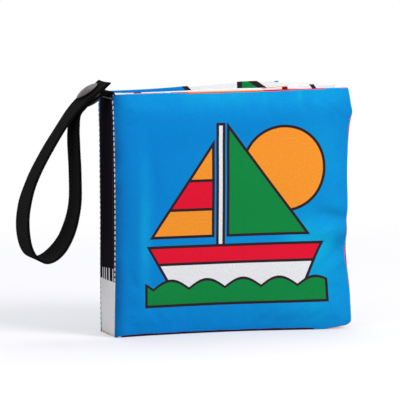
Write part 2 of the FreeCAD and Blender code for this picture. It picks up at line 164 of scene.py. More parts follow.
class Wiring:
    """Short calls that add and link the nodes of one tree."""

    def __init__(self, tree):
        self.tree = tree

    def node(self, kind, inputs=None, **settings):
        made = self.tree.nodes.new(kind)
        for key, value in settings.items():
            setattr(made, key, value)
        for key, value in (inputs or {}).items():
            self.feed(made.inputs[key], value)
        return made

    def feed(self, socket, value):
        if isinstance(value, bpy.types.NodeSocket):
            self.tree.links.new(value, socket)
        else:
            socket.default_value = value

    def math(self, operation, *values):
        return self.node("ShaderNodeMath", dict(enumerate(values)), operation=operation).outputs[0]

    def squares(self, first, second):
        """The sum of two squares."""
        return self.math("ADD", self.math("MULTIPLY", first, first), self.math("MULTIPLY", second, second))

    def ramp(self, value, low, high, start=0.0, end=1.0):
        """start below low, end above high, and smooth between them."""
        inputs = {"Value": value, "From Min": low, "From Max": high, "To Min": start, "To Max": end}
        return self.node("ShaderNodeMapRange", inputs, interpolation_type="SMOOTHSTEP").outputs["Result"]

    def mix(self, factor, first, second, blend="MIX"):
        made = self.node("ShaderNodeMix", data_type="RGBA", blend_type=blend)
        for key, value in ((0, factor), (6, first), (7, second)):
            self.feed(made.inputs[key], value)
        return made.outputs[2]

    def grey(self, value):
        return self.node("ShaderNodeCombineColor", {"Red": value, "Green": value, "Blue": value}).outputs[0]

    def cloud(self, place, scale, detail=2.0):
        inputs = {"Vector": place, "Scale": scale, "Detail": detail}
        return self.node("ShaderNodeTexNoise", inputs).outputs["Fac"]

    def bump(self, height, strength, distance):
        inputs = {"Height": height, "Strength": strength, "Distance": distance}
        return self.node("ShaderNodeBump", inputs).outputs[0]

    def shared(self, name, **inputs):
        """The outputs of a shared group, whose inputs are given with _ for each space."""
        made = self.node("ShaderNodeGroup", node_tree=shared_group(name))
        for key, value in inputs.items():
            self.feed(made.inputs[key.replace("_", " ")], value)
        return made.outputs


SOCKET_KINDS = {
    "Vector": "NodeSocketVector",
    "Under": "NodeSocketColor",
    "Fill": "NodeSocketColor",
    "Ink": "NodeSocketColor",
    "Colour": "NodeSocketColor",
}


def node_group(name, inputs, outputs):
    """An empty shared group: its tree, its wiring, what it is given and what it puts out."""
    tree = bpy.data.node_groups.new(name, "ShaderNodeTree")
    for direction, keys in (("INPUT", inputs), ("OUTPUT", outputs)):
        for key in keys:
            kind = SOCKET_KINDS.get(key, "NodeSocketFloat")
            tree.interface.new_socket(name=key, in_out=direction, socket_type=kind)
    wiring = Wiring(tree)
    return tree, wiring, wiring.node("NodeGroupInput").outputs, wiring.node("NodeGroupOutput").inputs


def disc_group():
    """Distance outside a disc."""
    inputs = ("U", "V", "Centre U", "Centre V", "Radius")
    tree, w, given, out = node_group("Disc edge", inputs, ("Distance",))
    across = w.math("SUBTRACT", given["U"], given["Centre U"])
    up = w.math("SUBTRACT", given["V"], given["Centre V"])
    w.feed(out["Distance"], w.math("SUBTRACT", w.math("SQRT", w.squares(across, up)), given["Radius"]))
    return tree


def straight_group():
    """Distance from a straight line through a point, positive on the side that its normal points to."""
    inputs = ("U", "V", "Point U", "Point V", "Normal U", "Normal V")
    tree, w, given, out = node_group("Straight edge", inputs, ("Distance",))
    across = w.math("SUBTRACT", given["U"], given["Point U"])
    up = w.math("SUBTRACT", given["V"], given["Point V"])
    along_u = w.math("MULTIPLY", across, given["Normal U"])
    along_v = w.math("MULTIPLY", up, given["Normal V"])
    w.feed(out["Distance"], w.math("ADD", along_u, along_v))
    return tree


def scallop_group():
    """Distance above a row of rounded waves."""
    tree, w, given, out = node_group("Scalloped edge", ("U", "V", "Level", "Pitch", "Rise"), ("Distance",))
    turn = w.math("MULTIPLY", w.math("DIVIDE", given["U"], given["Pitch"]), math.pi)
    crest = w.math("MULTIPLY", w.math("ABSOLUTE", w.math("SINE", turn)), given["Rise"])
    w.feed(out["Distance"], w.math("SUBTRACT", w.math("SUBTRACT", given["V"], given["Level"]), crest))
    return tree


PRINT_BLUR = 0.09                # half width of a print's soft edge, in millimetres


def painted_group():
    """Lays a filled and outlined shape over what is under it."""
    inputs = ("Under", "Fill", "Ink", "Distance", "Line")
    tree, w, given, out = node_group("Painted shape", inputs, ("Colour",))
    half = w.math("MULTIPLY", given["Line"], 0.5)
    inside = w.ramp(given["Distance"], -PRINT_BLUR, PRINT_BLUR, 1.0, 0.0)
    from_line = w.math("SUBTRACT", w.math("ABSOLUTE", given["Distance"]), half)
    line = w.ramp(from_line, -PRINT_BLUR, PRINT_BLUR, 1.0, 0.0)
    filled = w.mix(inside, given["Under"], given["Fill"])
    w.feed(out["Colour"], w.mix(line, filled, given["Ink"]))
    return tree


def weave_group():
    """Fine plain-woven cloth: its height, and a soft unevenness of tone."""
    tree, w, given, out = node_group("Cloth weave", ("Vector", "Pitch"), ("Height", "Tone"))
    split = w.node("ShaderNodeSeparateXYZ", {"Vector": given["Vector"]}).outputs
    threads = []
    for axis in ("X", "Y"):
        turn = w.math("MULTIPLY", w.math("DIVIDE", split[axis], given["Pitch"]), math.pi)
        threads.append(w.math("ABSOLUTE", w.math("SINE", turn)))
    uneven = w.cloud(given["Vector"], 900.0)
    w.feed(out["Height"], w.math("ADD", w.math("MULTIPLY", *threads), w.math("MULTIPLY", uneven, 1.4)))
    w.feed(out["Tone"], w.ramp(w.cloud(given["Vector"], 1000.0), 0.30, 0.70))
    return tree


STRIP_BLUR = 0.12                # half width of a rolled edge's soft border, in millimetres


def strip_group():
    """1 within a reach of an edge, between two places along it towards which the reach tapers."""
    inputs = ("Along", "From", "To", "Distance", "Reach")
    tree, w, given, out = node_group("Edge strip", inputs, ("Mask",))
    place = w.node("ShaderNodeCombineXYZ", {"X": given["Along"]}).outputs[0]
    after = w.ramp(w.math("SUBTRACT", given["Along"], given["From"]), -1.0, 1.5)
    before = w.ramp(w.math("SUBTRACT", given["To"], given["Along"]), -1.0, 1.5)
    within = w.math("MULTIPLY", after, before)
    wander = w.ramp(w.cloud(place, 0.1, 1.0), 0.3, 0.7, 0.88, 1.12)
    reach = w.math("MULTIPLY", w.math("MULTIPLY", given["Reach"], within), wander)
    near = w.ramp(w.math("SUBTRACT", given["Distance"], reach), -STRIP_BLUR, STRIP_BLUR, 1.0, 0.0)
    w.feed(out["Mask"], w.math("MULTIPLY", near, w.ramp(within, 0.0, 0.2)))
    return tree


def painted_light_group():
    """Where light or shade is painted over a print: a soft ellipse, broken up by broad patches."""
    inputs = ("U", "V", "Centre U", "Centre V", "Half width", "Half height")
    tree, w, given, out = node_group("Painted light patch", inputs, ("Mask",))
    across = w.math("DIVIDE", w.math("SUBTRACT", given["U"], given["Centre U"]), given["Half width"])
    up = w.math("DIVIDE", w.math("SUBTRACT", given["V"], given["Centre V"]), given["Half height"])
    place = w.node("ShaderNodeCombineXYZ", {"X": given["U"], "Y": given["V"]}).outputs[0]
    soft = w.math("EXPONENT", w.math("MULTIPLY", w.squares(across, up), -1.0))
    w.feed(out["Mask"], w.math("MULTIPLY", soft, w.ramp(w.cloud(place, 0.05, 3.0), 0.25, 0.75, 0.6, 1.3)))
    return tree


GROUP_MAKERS = {
    "Disc edge": disc_group,
    "Straight edge": straight_group,
    "Scalloped edge": scallop_group,
    "Painted shape": painted_group,
    "Cloth weave": weave_group,
    "Edge strip": strip_group,
    "Painted light patch": painted_light_group,
}


def shared_group(name):
    return bpy.data.node_groups.get(name) or GROUP_MAKERS[name]()


def new_material(name):
    """A material with one Principled shader, its wiring and the shader."""
    material = bpy.data.materials.new(name)
    material.use_nodes = True
    material.node_tree.nodes.clear()
    w = Wiring(material.node_tree)
    shader = w.node("ShaderNodeBsdfPrincipled")
    output = w.node("ShaderNodeOutputMaterial")
    w.feed(output.inputs["Surface"], shader.outputs["BSDF"])
    return material, w, shader


# --- Prints -------------------------------------------------------------------------------------


class Print:
    """Shapes painted one over another on a cloth, placed in millimetres from its fold and its foot."""

    def __init__(self, wiring, ground):
        self.w = wiring
        self.vector = wiring.node("ShaderNodeUVMap", uv_map="Cloth").outputs["UV"]
        split = wiring.node("ShaderNodeSeparateXYZ", {"Vector": self.vector}).outputs
        self.u = wiring.math("DIVIDE", split["X"], MM)
        self.v = wiring.math("DIVIDE", split["Y"], MM)
        self.colour = flat(ground)
        self.line = sizes().print_line / MM

    def shape(self, group, **inputs):
        return self.w.shared(group, U=self.u, V=self.v, **inputs)[0]

    def disc(self, centre_u, centre_v, radius):
        return self.shape("Disc edge", Centre_U=centre_u, Centre_V=centre_v, Radius=radius)

    def beyond(self, start, end):
        """Distance to the right of the line from start to end."""
        along = (Vector(end) - Vector(start)).normalized()
        return self.shape("Straight edge", Point_U=start[0], Point_V=start[1], Normal_U=along.y,
                          Normal_V=-along.x)

    def waves(self, level, pitch, rise):
        return self.shape("Scalloped edge", Level=level, Pitch=pitch, Rise=rise)

    def joined(self, operation, distances):
        result, *others = distances
        for other in others:
            result = self.w.math(operation, result, other)
        return result

    def overlap(self, *distances):
        return self.joined("MAXIMUM", distances)

    def union(self, *distances):
        return self.joined("MINIMUM", distances)

    def polygon(self, *corners):
        """A convex shape from its corners, anticlockwise."""
        return self.overlap(*[self.beyond(a, b) for a, b in zip(corners, corners[1:] + corners[:1])])

    def box(self, low_u, low_v, high_u, high_v):
        return self.polygon((low_u, low_v), (high_u, low_v), (high_u, high_v), (low_u, high_v))

    # Painted light and shade: soft patches of a lighter or darker colour laid over a print
    def paint_light_and_shade(self, patches, value):
        """Soft patches of painted light or shade: centre, half width, half height and share."""
        for centre_u, centre_v, half_width, half_height, share in patches:
            mask = self.shape("Painted light patch", Centre_U=centre_u, Centre_V=centre_v, Half_width=half_width,
                              Half_height=half_height)
            self.colour = self.w.mix(self.w.math("MULTIPLY", mask, share), self.colour, flat(value))

    def strip(self, along, start, end, distance, reach, value):
        """A strip of another colour along an edge."""
        mask = self.w.shared("Edge strip", Along=along, From=start, To=end, Distance=distance, Reach=reach)[0]
        self.colour = self.w.mix(mask, self.colour, flat(value))

    def paint(self, distance, fill, line=None):
        """A shape in its fill, with an outline of the print's own width unless line gives another."""
        width = self.line if line is None else line
        self.colour = self.w.shared("Painted shape", Under=self.colour, Fill=flat(fill),
                                    Ink=flat(colours().ink), Distance=distance, Line=width)[0]


def front_print(p):
    """A sailing boat in front of a low sun."""
    c = colours()
    # painted light: a brighter blue towards the foot
    p.paint_light_and_shade(((50, 0, 62, 15, 1.0),), c.painted_foot_light)
    # painted highlights: lighter blue along the top, beside the folds and low towards the fore-edge
    p.paint_light_and_shade((
        (108, 126, 38, 8, 0.35),
        (56, 127, 46, 10, 0.6),
        (104, 44.5, 14, 12, 1.1),
        (112, 78, 16, 44, 0.3),
        (75, 60, 34, 40, 0.25),
        (15.2, 54, 3.2, 30, 0.65),
        (108, 26, 24, 28, 0.45),
        (62, 8, 60, 8, 0.2),
        (81, 123, 1.5, 3.2, 0.5),
        (99.5, 123, 1.5, 3.2, 0.6),
    ), c.painted_highlight_blue)
    # painted shade: darker blue where the cloth rolls round the fold, and in a dip near the fore-edge
    p.paint_light_and_shade(((-1.5, 63, 4.2, 300, 0.75), (3, 75, 4, 45, 0.2), (123, 46, 6, 9, 0.2)), c.shade)
    p.paint(p.disc(90, 85, 22), c.orange)
    p.paint(p.polygon((60, 51), (103, 51), (60, 108)), c.green)
    jib = p.polygon((19, 51), (52, 51), (52, 99))
    p.paint(jib, c.orange)
    p.paint(p.overlap(jib, p.beyond((10, 65), (60, 65)), p.beyond((60, 80), (10, 80))), c.red)
    p.paint(p.box(54.3, 43, 57.7, 109), c.white)
    hull = p.polygon((32, 20), (98, 20), (111, 46), (17, 46))
    p.paint(hull, c.red)
    p.paint(p.overlap(hull, p.beyond((120, 37), (0, 37))), c.white)
    p.paint(p.overlap(p.waves(24, 19.4, 4.5), p.box(15.5, 15.5, 112.5, 40)), c.green)


def front_lining_print(p):
    """Plain fields: a white corner, an orange half disc and a house."""
    c = colours()
    p.paint(p.disc(0, 126, 27), c.white)
    p.paint(p.disc(48, 130, 19), c.orange)
    p.paint(p.box(44, 20, 92, 62), c.white)
    p.paint(p.polygon((36, 62), (100, 62), (68, 92)), c.blue)
    p.paint(p.box(61, 20, 75, 44), c.green)


def back_print(p):
    """A tree, two balloons and a cloud over a meadow, and a green disc at the fold."""
    c = colours()
    # painted highlights: lighter blue along the top and low towards the fore-edge
    p.paint_light_and_shade(((62, 124, 60, 10, 0.5), (96, 40, 24, 20, 0.3)), c.painted_highlight_blue)
    p.paint(p.box(-9, -9, 140, 30), c.green)
    p.paint(p.disc(0, 105.8, 5.0), c.green)
    p.paint(p.box(37.2, 30, 42.8, 60), c.ink, 0.0)
    p.paint(p.disc(40, 72, 21), c.green)
    p.paint(p.disc(84, 84, 17), c.red)
    p.paint(p.polygon((80, 62), (88, 62), (84, 68)), c.red)
    p.paint(p.disc(104, 60, 11), c.orange)
    p.paint(p.union(p.disc(66, 44, 6), p.disc(74, 47, 8), p.disc(84, 44, 6)), c.white)


def back_lining_print(p):
    """Blocks and a ball on white, with two more blocks and a bar at the top edge."""
    c = colours()
    p.paint(p.polygon((-9, 112), (57.5, 112), (32.2, 140), (-9, 140)), c.blue, 2.4)
    p.paint(p.polygon((75, 112), (103.2, 112), (75.5, 130.2), (75, 130.2)), c.green, 2.8)
    p.paint(p.box(94, 125.3, 96.2, 140), c.blue, 0.0)
    p.paint(p.disc(34, 44, 24), c.red)
    p.paint(p.box(64, 20, 108, 64), c.orange)
    p.paint(p.disc(86, 42, 12), c.white)


def balls_print(p):
    """Three balls, and two marks at the top edge."""
    c = colours()
    p.paint(p.disc(34, 82, 22), c.red)
    p.paint(p.disc(84, 84, 15), c.blue)
    p.paint(p.disc(62, 36, 26), c.orange)
    p.paint(p.box(9, 119, 13, 140), c.ink, 0.0)
    p.paint(p.box(88.6, 119, 91.6, 140), c.ink, 0.0)


def blocks_print(p):
    """A pile of three blocks, and two marks at the top edge."""
    c = colours()
    p.paint(p.box(14, 16, 56, 58), c.green)
    p.paint(p.box(62, 16, 104, 58), c.orange)
    p.paint(p.box(38, 62, 80, 104), c.red)
    p.paint(p.polygon((110.6, 119), (113, 119), (106.6, 128), (104.2, 128)), c.ink, 0.0)
    p.paint(p.box(80, 125.0, 94.5, 140), c.orange, 0.0)


def hills_print(p):
    """Two round hills under a sun, and a mark at the top edge."""
    c = colours()
    p.paint(p.disc(84, 92, 14), c.orange)
    p.paint(p.disc(24, -6, 52), c.green)
    p.paint(p.disc(92, -22, 66), c.blue)
    p.paint(p.box(110, 123.5, 112, 140), c.blue, 0.0)


# The prints on the front and the back of each leaf, from the front cover on
LEAF_PRINTS = (
    (balls_print, hills_print),
    (blocks_print, balls_print),
    (hills_print, blocks_print),
)


PALE_FOOT = 28.8                 # height of the pale block at the spine's foot, in millimetres
SPINE_BARS = ((-11.1, 35.5), (-5.1, 35.4), (-0.1, 35.1), (4.4, 34.8), (8.6, 34.6))    # middle and top
BAR_HALF = 0.85


def spine_print(p):
    """Black with a pale foot, short bars where the two meet, and a bright hem."""
    c = colours()
    p.paint(p.box(-40, -9, 40, PALE_FOOT), c.grey, 0.0)
    for middle, top in SPINE_BARS:
        p.paint(p.box(middle - BAR_HALF, 20, middle + BAR_HALF, top), c.grey, 0.0)
    p.paint(p.box(-4, -9, 14, 0.9), c.orange, 0.0)


WEAVE_PITCH = 0.45 * MM


def cloth_material(name, ground, paint=None, edge=None, sheen=0.02, specular=0.01, bump=0.35):
    """Woven cloth on a ground colour. paint lays its print, and edge the colours along its edges."""
    material, w, shader = new_material(name)
    p = Print(w, ground)
    if paint:
        paint(p)
    if edge:
        edge(p)
    weave = w.shared("Cloth weave", Vector=p.vector, Pitch=WEAVE_PITCH)
    shade = w.ramp(weave["Tone"], 0.0, 1.0, 0.955, 1.035)
    w.feed(shader.inputs["Base Color"], w.mix(1.0, p.colour, w.grey(shade), "MULTIPLY"))
    w.feed(shader.inputs["Roughness"], w.ramp(weave["Tone"], 0.0, 1.0, 0.67, 0.57))
    w.feed(shader.inputs["Normal"], w.bump(weave["Height"], bump, 0.10 * MM))
    shader.inputs["Sheen Weight"].default_value = sheen
    shader.inputs["Sheen Roughness"].default_value = 0.45
    shader.inputs["Specular IOR Level"].default_value = specular
    return material


# --- Sewn pieces --------------------------------------------------------------------------------


def swell(distance, roll):
    """0 at a seam, rising to 1 at the roll's width from it."""
    share = min(max(distance / roll, 0.0), 1.0)
    return math.sin(math.pi / 2 * share)


def blend(share):
    """A smooth rise from 0 to 1."""
    share = min(max(share, 0.0), 1.0)
    return share * share * (3.0 - 2.0 * share)


def hump(place, peak, run):
    """1 at the peak, and almost 0 two runs from it on each side."""
    return math.exp(-((place - peak) / run) ** 2)


def round_edge(distance, radius):
    """Profile of a rounded edge: 0 at the edge, 1 a radius in from it."""
    share = min(max(distance / radius, 0.0), 1.0)
    return math.sqrt(1.0 - (1.0 - share) ** 2)


EDGE_LOOPS = (0.0, 0.10 * MM, 0.32 * MM, 0.70 * MM, 1.3 * MM)    # close rows beside an edge
SEAM_HELD = 1.2 * MM             # width beside a seam that the cloth's swelling leaves alone


def stations(low, high, step, extra=()):
    """Places from low to high: close to each other at both ends, and about a step apart between them."""
    first, last = low + EDGE_LOOPS[-1], high - EDGE_LOOPS[-1]
    count = max(2, round((last - first) / step))
    middle = [first + (last - first) * i / count for i in range(count + 1)]
    ends = [low + d for d in EDGE_LOOPS[:-1]] + [high - d for d in EDGE_LOOPS[:-1]]
    return sorted(set(middle + ends + list(extra)))


def link_piece(name, mesh):
    piece = bpy.data.objects.new(name, mesh)
    bpy.context.scene.collection.objects.link(piece)
    return piece


def finished(name, bm, materials):
    """A smooth-shaded piece from a bmesh, its faces turned outwards."""
    mesh = bpy.data.meshes.new(name)
    bmesh.ops.recalc_face_normals(bm, faces=bm.faces)
    bm.to_mesh(mesh)
    bm.free()
    for material in materials:
        mesh.materials.append(material)
    mesh.polygons.foreach_set("use_smooth", [True] * len(mesh.polygons))
    return link_piece(name, mesh)


def sewn(name, columns, rows, place, materials, pin_reach=None):
    """Two cloths over the same columns and rows, sewn to each other along their edges.

    place(across, up, face) gives a point of the outer face for 1 and of the inner face for -1, and
    has to give the same point for both along the edges. With pin_reach, given as the width held past
    the first column and the width over which the pins let go, the piece gets the weights that
    swollen() needs.
    """
    bm = bmesh.new()
    uv = bm.loops.layers.uv.new("Cloth")
    bmesh.ops.create_grid(bm, x_segments=len(columns) - 1, y_segments=len(rows) - 1, size=0.5)
    column = bm.verts.layers.int.new("column")
    row = bm.verts.layers.int.new("row")
    for vert in bm.verts:
        vert[column] = round((vert.co.x + 0.5) * (len(columns) - 1))
        vert[row] = round((vert.co.y + 0.5) * (len(rows) - 1))
    for face in bm.faces:
        face.material_index = OUTER
        for loop in face.loops:
            loop[uv].uv = (columns[loop.vert[column]], rows[loop.vert[row]])
    copy = bmesh.ops.duplicate(bm, geom=bm.verts[:] + bm.edges[:] + bm.faces[:])["geom"]
    lining = [item for item in copy if isinstance(item, bmesh.types.BMFace)]
    inner = {item for item in copy if isinstance(item, bmesh.types.BMVert)}
    for vert in bm.verts:
        vert.co = place(columns[vert[column]], rows[vert[row]], -1 if vert in inner else 1)
    bmesh.ops.reverse_faces(bm, faces=lining)
    for face in lining:
        face.material_index = min(INNER, len(materials) - 1)
    bmesh.ops.remove_doubles(bm, verts=bm.verts[:], dist=1e-7)
    if pin_reach:
        spots = [(columns[vert[column]], rows[vert[row]]) for vert in bm.verts]
        pins = pin_weights(spots, columns, rows, pin_reach)
    bm.verts.layers.int.remove(column)    # which moves the other layer, so that is found by name
    bm.verts.layers.int.remove(bm.verts.layers.int["row"])
    piece = finished(name, bm, materials)
    if pin_reach:
        seam = piece.vertex_groups.new(name="Seam")
        for index, weight in enumerate(pins):
            seam.add([index], weight, "REPLACE")
    return piece


def pin_weights(spots, columns, rows, reach):
    """1 near the seams, falling to 0 inside them, for each spot of the mesh."""
    kept, run = reach
    weights = []
    for across, up in spots:
        far = min(across - columns[0] - kept, columns[-1] - across, up - rows[0], rows[-1] - up)
        weights.append(1.0 - blend((far - SEAM_HELD) / run))
    return weights


CLOTH_FRAMES = 22
CLOTH_SCALE = 10.0               # the solver behaves better on a larger copy
CLOTH_NUDGE = 0.12 * MM          # unevenness that starts the crumples
CLOTH_NUDGES = 90.0              # per metre


def swollen(piece, pressure, slack, most, seed):
    """Lets the cloth between its pinned seams swell and crumple, no point by more than the given length."""
    mesh = piece.data
    rest = np.zeros(len(mesh.vertices) * 3)
    mesh.vertices.foreach_get("co", rest)
    rest = rest.reshape(-1, 3)
    offset = Vector((seed * 7.3, seed * 3.1, 0.0))
    nudged = rest.copy()
    for i, point in enumerate(rest):
        nudged[i, 1] += CLOTH_NUDGE * noise.noise(Vector(point) * CLOTH_NUDGES + offset)
    trial = link_piece("trial", mesh.copy())
    trial.data.vertices.foreach_set("co", (nudged * CLOTH_SCALE).ravel())
    group = trial.vertex_groups.new(name="Seam")
    source = piece.vertex_groups["Seam"]
    pins = np.zeros(len(rest))
    for vert in mesh.vertices:
        pins[vert.index] = next(g.weight for g in vert.groups if g.group == source.index)
        group.add([vert.index], pins[vert.index], "REPLACE")
    modifier = trial.modifiers.new("Cloth", "CLOTH")
    cloth = modifier.settings
    cloth.quality = 5
    cloth.mass = 0.15
    cloth.tension_stiffness = 25.0
    cloth.compression_stiffness = 25.0
    cloth.shear_stiffness = 8.0
    cloth.bending_stiffness = 1.2
    cloth.air_damping = 4.0
    cloth.use_pressure = True
    cloth.uniform_pressure_force = pressure
    cloth.shrink_min = -slack
    cloth.vertex_group_mass = "Seam"
    cloth.effector_weights.gravity = 0.0
    modifier.collision_settings.use_collision = False
    modifier.point_cache.frame_end = CLOTH_FRAMES
    for step in range(1, CLOTH_FRAMES + 1):
        bpy.context.scene.frame_set(step)
    result = trial.evaluated_get(bpy.context.evaluated_depsgraph_get()).to_mesh()
    moved = np.zeros(len(mesh.vertices) * 3)
    result.vertices.foreach_get("co", moved)
    moved = moved.reshape(-1, 3) / CLOTH_SCALE - rest
    far = np.linalg.norm(moved, axis=1, keepdims=True)
    moved *= np.tanh(far / most) * most / np.maximum(far, 1e-9)
    moved *= (1.0 - pins)[:, None]
    mesh.vertices.foreach_set("co", (rest + moved).ravel())
    mesh.update()
    bpy.context.scene.frame_set(1)
    spare = trial.data
    bpy.data.objects.remove(trial)
    bpy.data.meshes.remove(spare)


def smoothed(piece):
    modifier = piece.modifiers.new("Subdivision", "SUBSURF")
    modifier.levels = 1
    modifier.render_levels = 1


# --- Covers -------------------------------------------------------------------------------------


class Cover:
    """A padded cover whose hem turns round its fold and ends on the spine, under the stitches.

    Each cover says its side, its hem's turn_radius, its width from the fold to the fore-edge, the
    tongue of hem past the turn, pillow as the depth and run of the roll at the fold, fore-edge, foot
    and top, and corners as the run and rise of each round corner and whether it is at the top.

    relief holds soft folds: centre from the fold and the foot, direction in degrees, length, width
    and height outwards, in millimetres.

    stitch_stray and print_stray say how far the stitches and the print's edge lie past the fold's
    start, towards the spine, in millimetres: at the foot, more of it at the top, and the bow back
    towards the cover between them.
    """

    hem_run = 2.9 * MM             # flat stretch past the fold before the cover swells
    tongue_half = 0.25 * MM        # half thickness of the hem's end on the spine
    broad_size = 34 * MM           # of the broad unevenness between the soft folds
    broad_depth = 0.8 * MM

    def __init__(self):
        self.hem_half = sizes().hem_thickness / 2
        self.full_half = sizes().cover_thickness / 2
        self.tongue_x = LEFT - 0.10 * MM
        self.turn = math.pi / 2 * self.turn_radius
        self.start = -self.turn - self.tongue
        self.flat_x = self.tongue_x + self.turn_radius
        self.hem_y = self.side * (FOLD_Y - self.hem_half)

    def fall(self, across, up):
        """How far the outer cloth has fallen back towards its edges."""
        far = (across, self.width - across, up, BOOK_HEIGHT - up)
        return sum(depth * (1.0 - swell(distance, run)) for distance, (depth, run) in zip(far, self.pillow))

    def soft_relief(self, across, up):
        """The soft folds, as a shift of the cloth into the book."""
        depth = 0.0
        for centre_u, centre_v, angle, long, wide, height in self.relief:
            du, dv = across / MM - centre_u, up / MM - centre_v
            turn = math.radians(angle)
            along = du * math.cos(turn) + dv * math.sin(turn)
            over = dv * math.cos(turn) - du * math.sin(turn)
            depth -= height * MM * math.exp(-(along / long) ** 2 - (over / wide) ** 2)
        broad = noise.noise(Vector((across, up, 0.37)) / self.broad_size)
        return depth - self.broad_depth * broad

    def stitch_place(self, up):
        """The place of the fold's stitch at a height."""
        foot, lean, bow = self.stitch_stray
        share = up / BOOK_HEIGHT
        return self.place((bow * 4.0 * share * (1.0 - share) - lean * share - foot) * MM, up, 1)

    def middle(self, across, up):
        """The y of the middle between the two cloths, past the turn."""
        sunk = (self.full_half - self.hem_half) * swell(across - self.hem_run, sizes().cover_roll)
        return self.hem_y - self.side * (sunk + self.fall(across, up)) + self.sway(across, up)

    def half(self, across, up):
        """Half the thickness."""
        low = min(up, BOOK_HEIGHT - up)
        ends = swell(low, sizes().cover_roll)
        sides = swell(min(across - self.hem_run, self.width - across), sizes().cover_roll)
        hem = self.hem_half + (self.tongue_half - self.hem_half) * blend(-across / self.turn)
        hem *= min(round_edge(low, self.hem_half), round_edge(self.width - across, self.hem_half),
                   round_edge(across - self.start, self.tongue_half))
        return hem + (self.full_half - self.hem_half) * sides * ends

    def cornered(self, across, up):
        """Rounds the fore-edge corners: the square at each becomes a quarter of an ellipse."""
        for run, rise, at_top in self.corners:
            inner = self.width - run
            level = BOOK_HEIGHT - rise if at_top else rise
            a = (across - inner) / run
            b = (up - level) / rise if at_top else (level - up) / rise
            if a > 0.0 and b > 0.0:
                height = level + rise * b * math.sqrt(1 - a * a / 2) * (1 if at_top else -1)
                return inner + run * a * math.sqrt(1 - b * b / 2), height
        return across, up

    def place(self, across, up, face):
        """A point of the outer cloth for face 1, of the lining for face -1."""
        offset = face * self.half(across, up)
        if across >= 0.0:
            y = self.middle(across, up) + self.side * offset
            flat_across, flat_up = self.cornered(across, up)
            x = self.flat_x + flat_across + self.side_shift(across, up)
            return Vector((x, y, flat_up + self.lift(across, up)))
        turned = min(-across / self.turn_radius, math.pi / 2)
        rest = min(0.0, across + self.turn)
        reach = self.turn_radius + offset
        x = self.flat_x - math.sin(turned) * reach + self.side_shift(across, up)
        y = self.middle(0.0, up) - self.side * (self.turn_radius - math.cos(turned) * reach)
        y += self.side * rest
        return Vector((x, y, up + self.lift(across, up)))


def top_dip(across, up, depth, run):
    """The top corner beside the fold is rounded off."""
    return -depth * max(0.0, 1.0 - max(across, 0.0) / run) ** 2 * (up / BOOK_HEIGHT) ** 12


class FrontCover(Cover):
    """The cover with the sailing boat. Its foot flares towards the fore-edge."""

    side = FRONT_SIDE
    turn_radius = 1.0 * MM
    width = 125.9 * MM
    tongue = 1.3 * MM
    pillow = ((0.4 * MM, 5 * MM), (1.0 * MM, 10 * MM), (0.5 * MM, 4 * MM), (1.3 * MM, 10 * MM))
    corners = ((3.2 * MM, 2.4 * MM, False), (0.9 * MM, 0.9 * MM, True))
    stitch_stray = (1.50, -0.60, 0.75)
    print_stray = (1.30, -0.60, 0.75)
    relief = (
        (13.4, 54, 87, 36, 3.5, 1.65),
        (20.0, 82, 98, 20, 3.0, -1.1),
        (6.5, 66, 90, 40, 3.4, -0.5),
        (119, 58.5, -13, 11, 3.4, -2.1),
        (115, 51, -4, 15, 4.2, 1.3),
        (120, 41, 52, 8, 2.5, -1.4),
        (121, 35, 20, 7, 2.8, 0.9),
        (104, 64, 20, 14, 7.0, 0.5),
        (81, 121.5, 60, 3.2, 1.3, -0.35),
        (99.5, 121.5, 75, 3.4, 1.2, -0.35),
        (60, 108, 8, 30, 7.0, 0.45),
        (38, 96, 60, 16, 7.0, -0.4),
        (95, 12, -10, 22, 6.0, 0.4),
    )

    def sway(self, across, up):
        """The foot is dished near the fold and flares outwards near the fore-edge."""
        low = (1.0 - up / BOOK_HEIGHT) ** 2
        dish = 2.6 * MM * math.sin(math.pi * min(across / (95 * MM), 1.0)) ** 2
        flare = 7.0 * MM * blend(1.0 - (self.width - across) / (51 * MM))
        return (dish - flare) * low + self.soft_relief(across, up) * blend(across / (6 * MM))

    def side_shift(self, across, up):
        """The fore-edge has a small ear near the top and dips at a third of its height."""
        peak = BOOK_HEIGHT - 12.6 * MM
        if up > peak:
            ear = 0.7 * (BOOK_HEIGHT - up) / (BOOK_HEIGHT - peak) + 0.3 * math.exp((peak - up) / (1.3 * MM))
        else:
            ear = math.exp((up - peak) / (5.0 * MM))
        wider = 1.6 * MM * blend((up - 75 * MM) / (42 * MM))
        dip = 1.7 * MM * hump(up, 40 * MM, 14 * MM)
        share = across / self.width
        return 2.2 * MM * ear * share ** 8 + (wider - dip) * share ** 3

    def lift(self, across, up):
        """The foot rises to the fore-edge's corner."""
        corner = max(0.0, 1.0 - (self.width - across) / (14.5 * MM)) ** 1.1
        low = max(0.0, 1.0 - up / (34 * MM)) ** 2
        return 2.2 * MM * corner * low + top_dip(across, up, 0.4 * MM, 1.2 * MM)


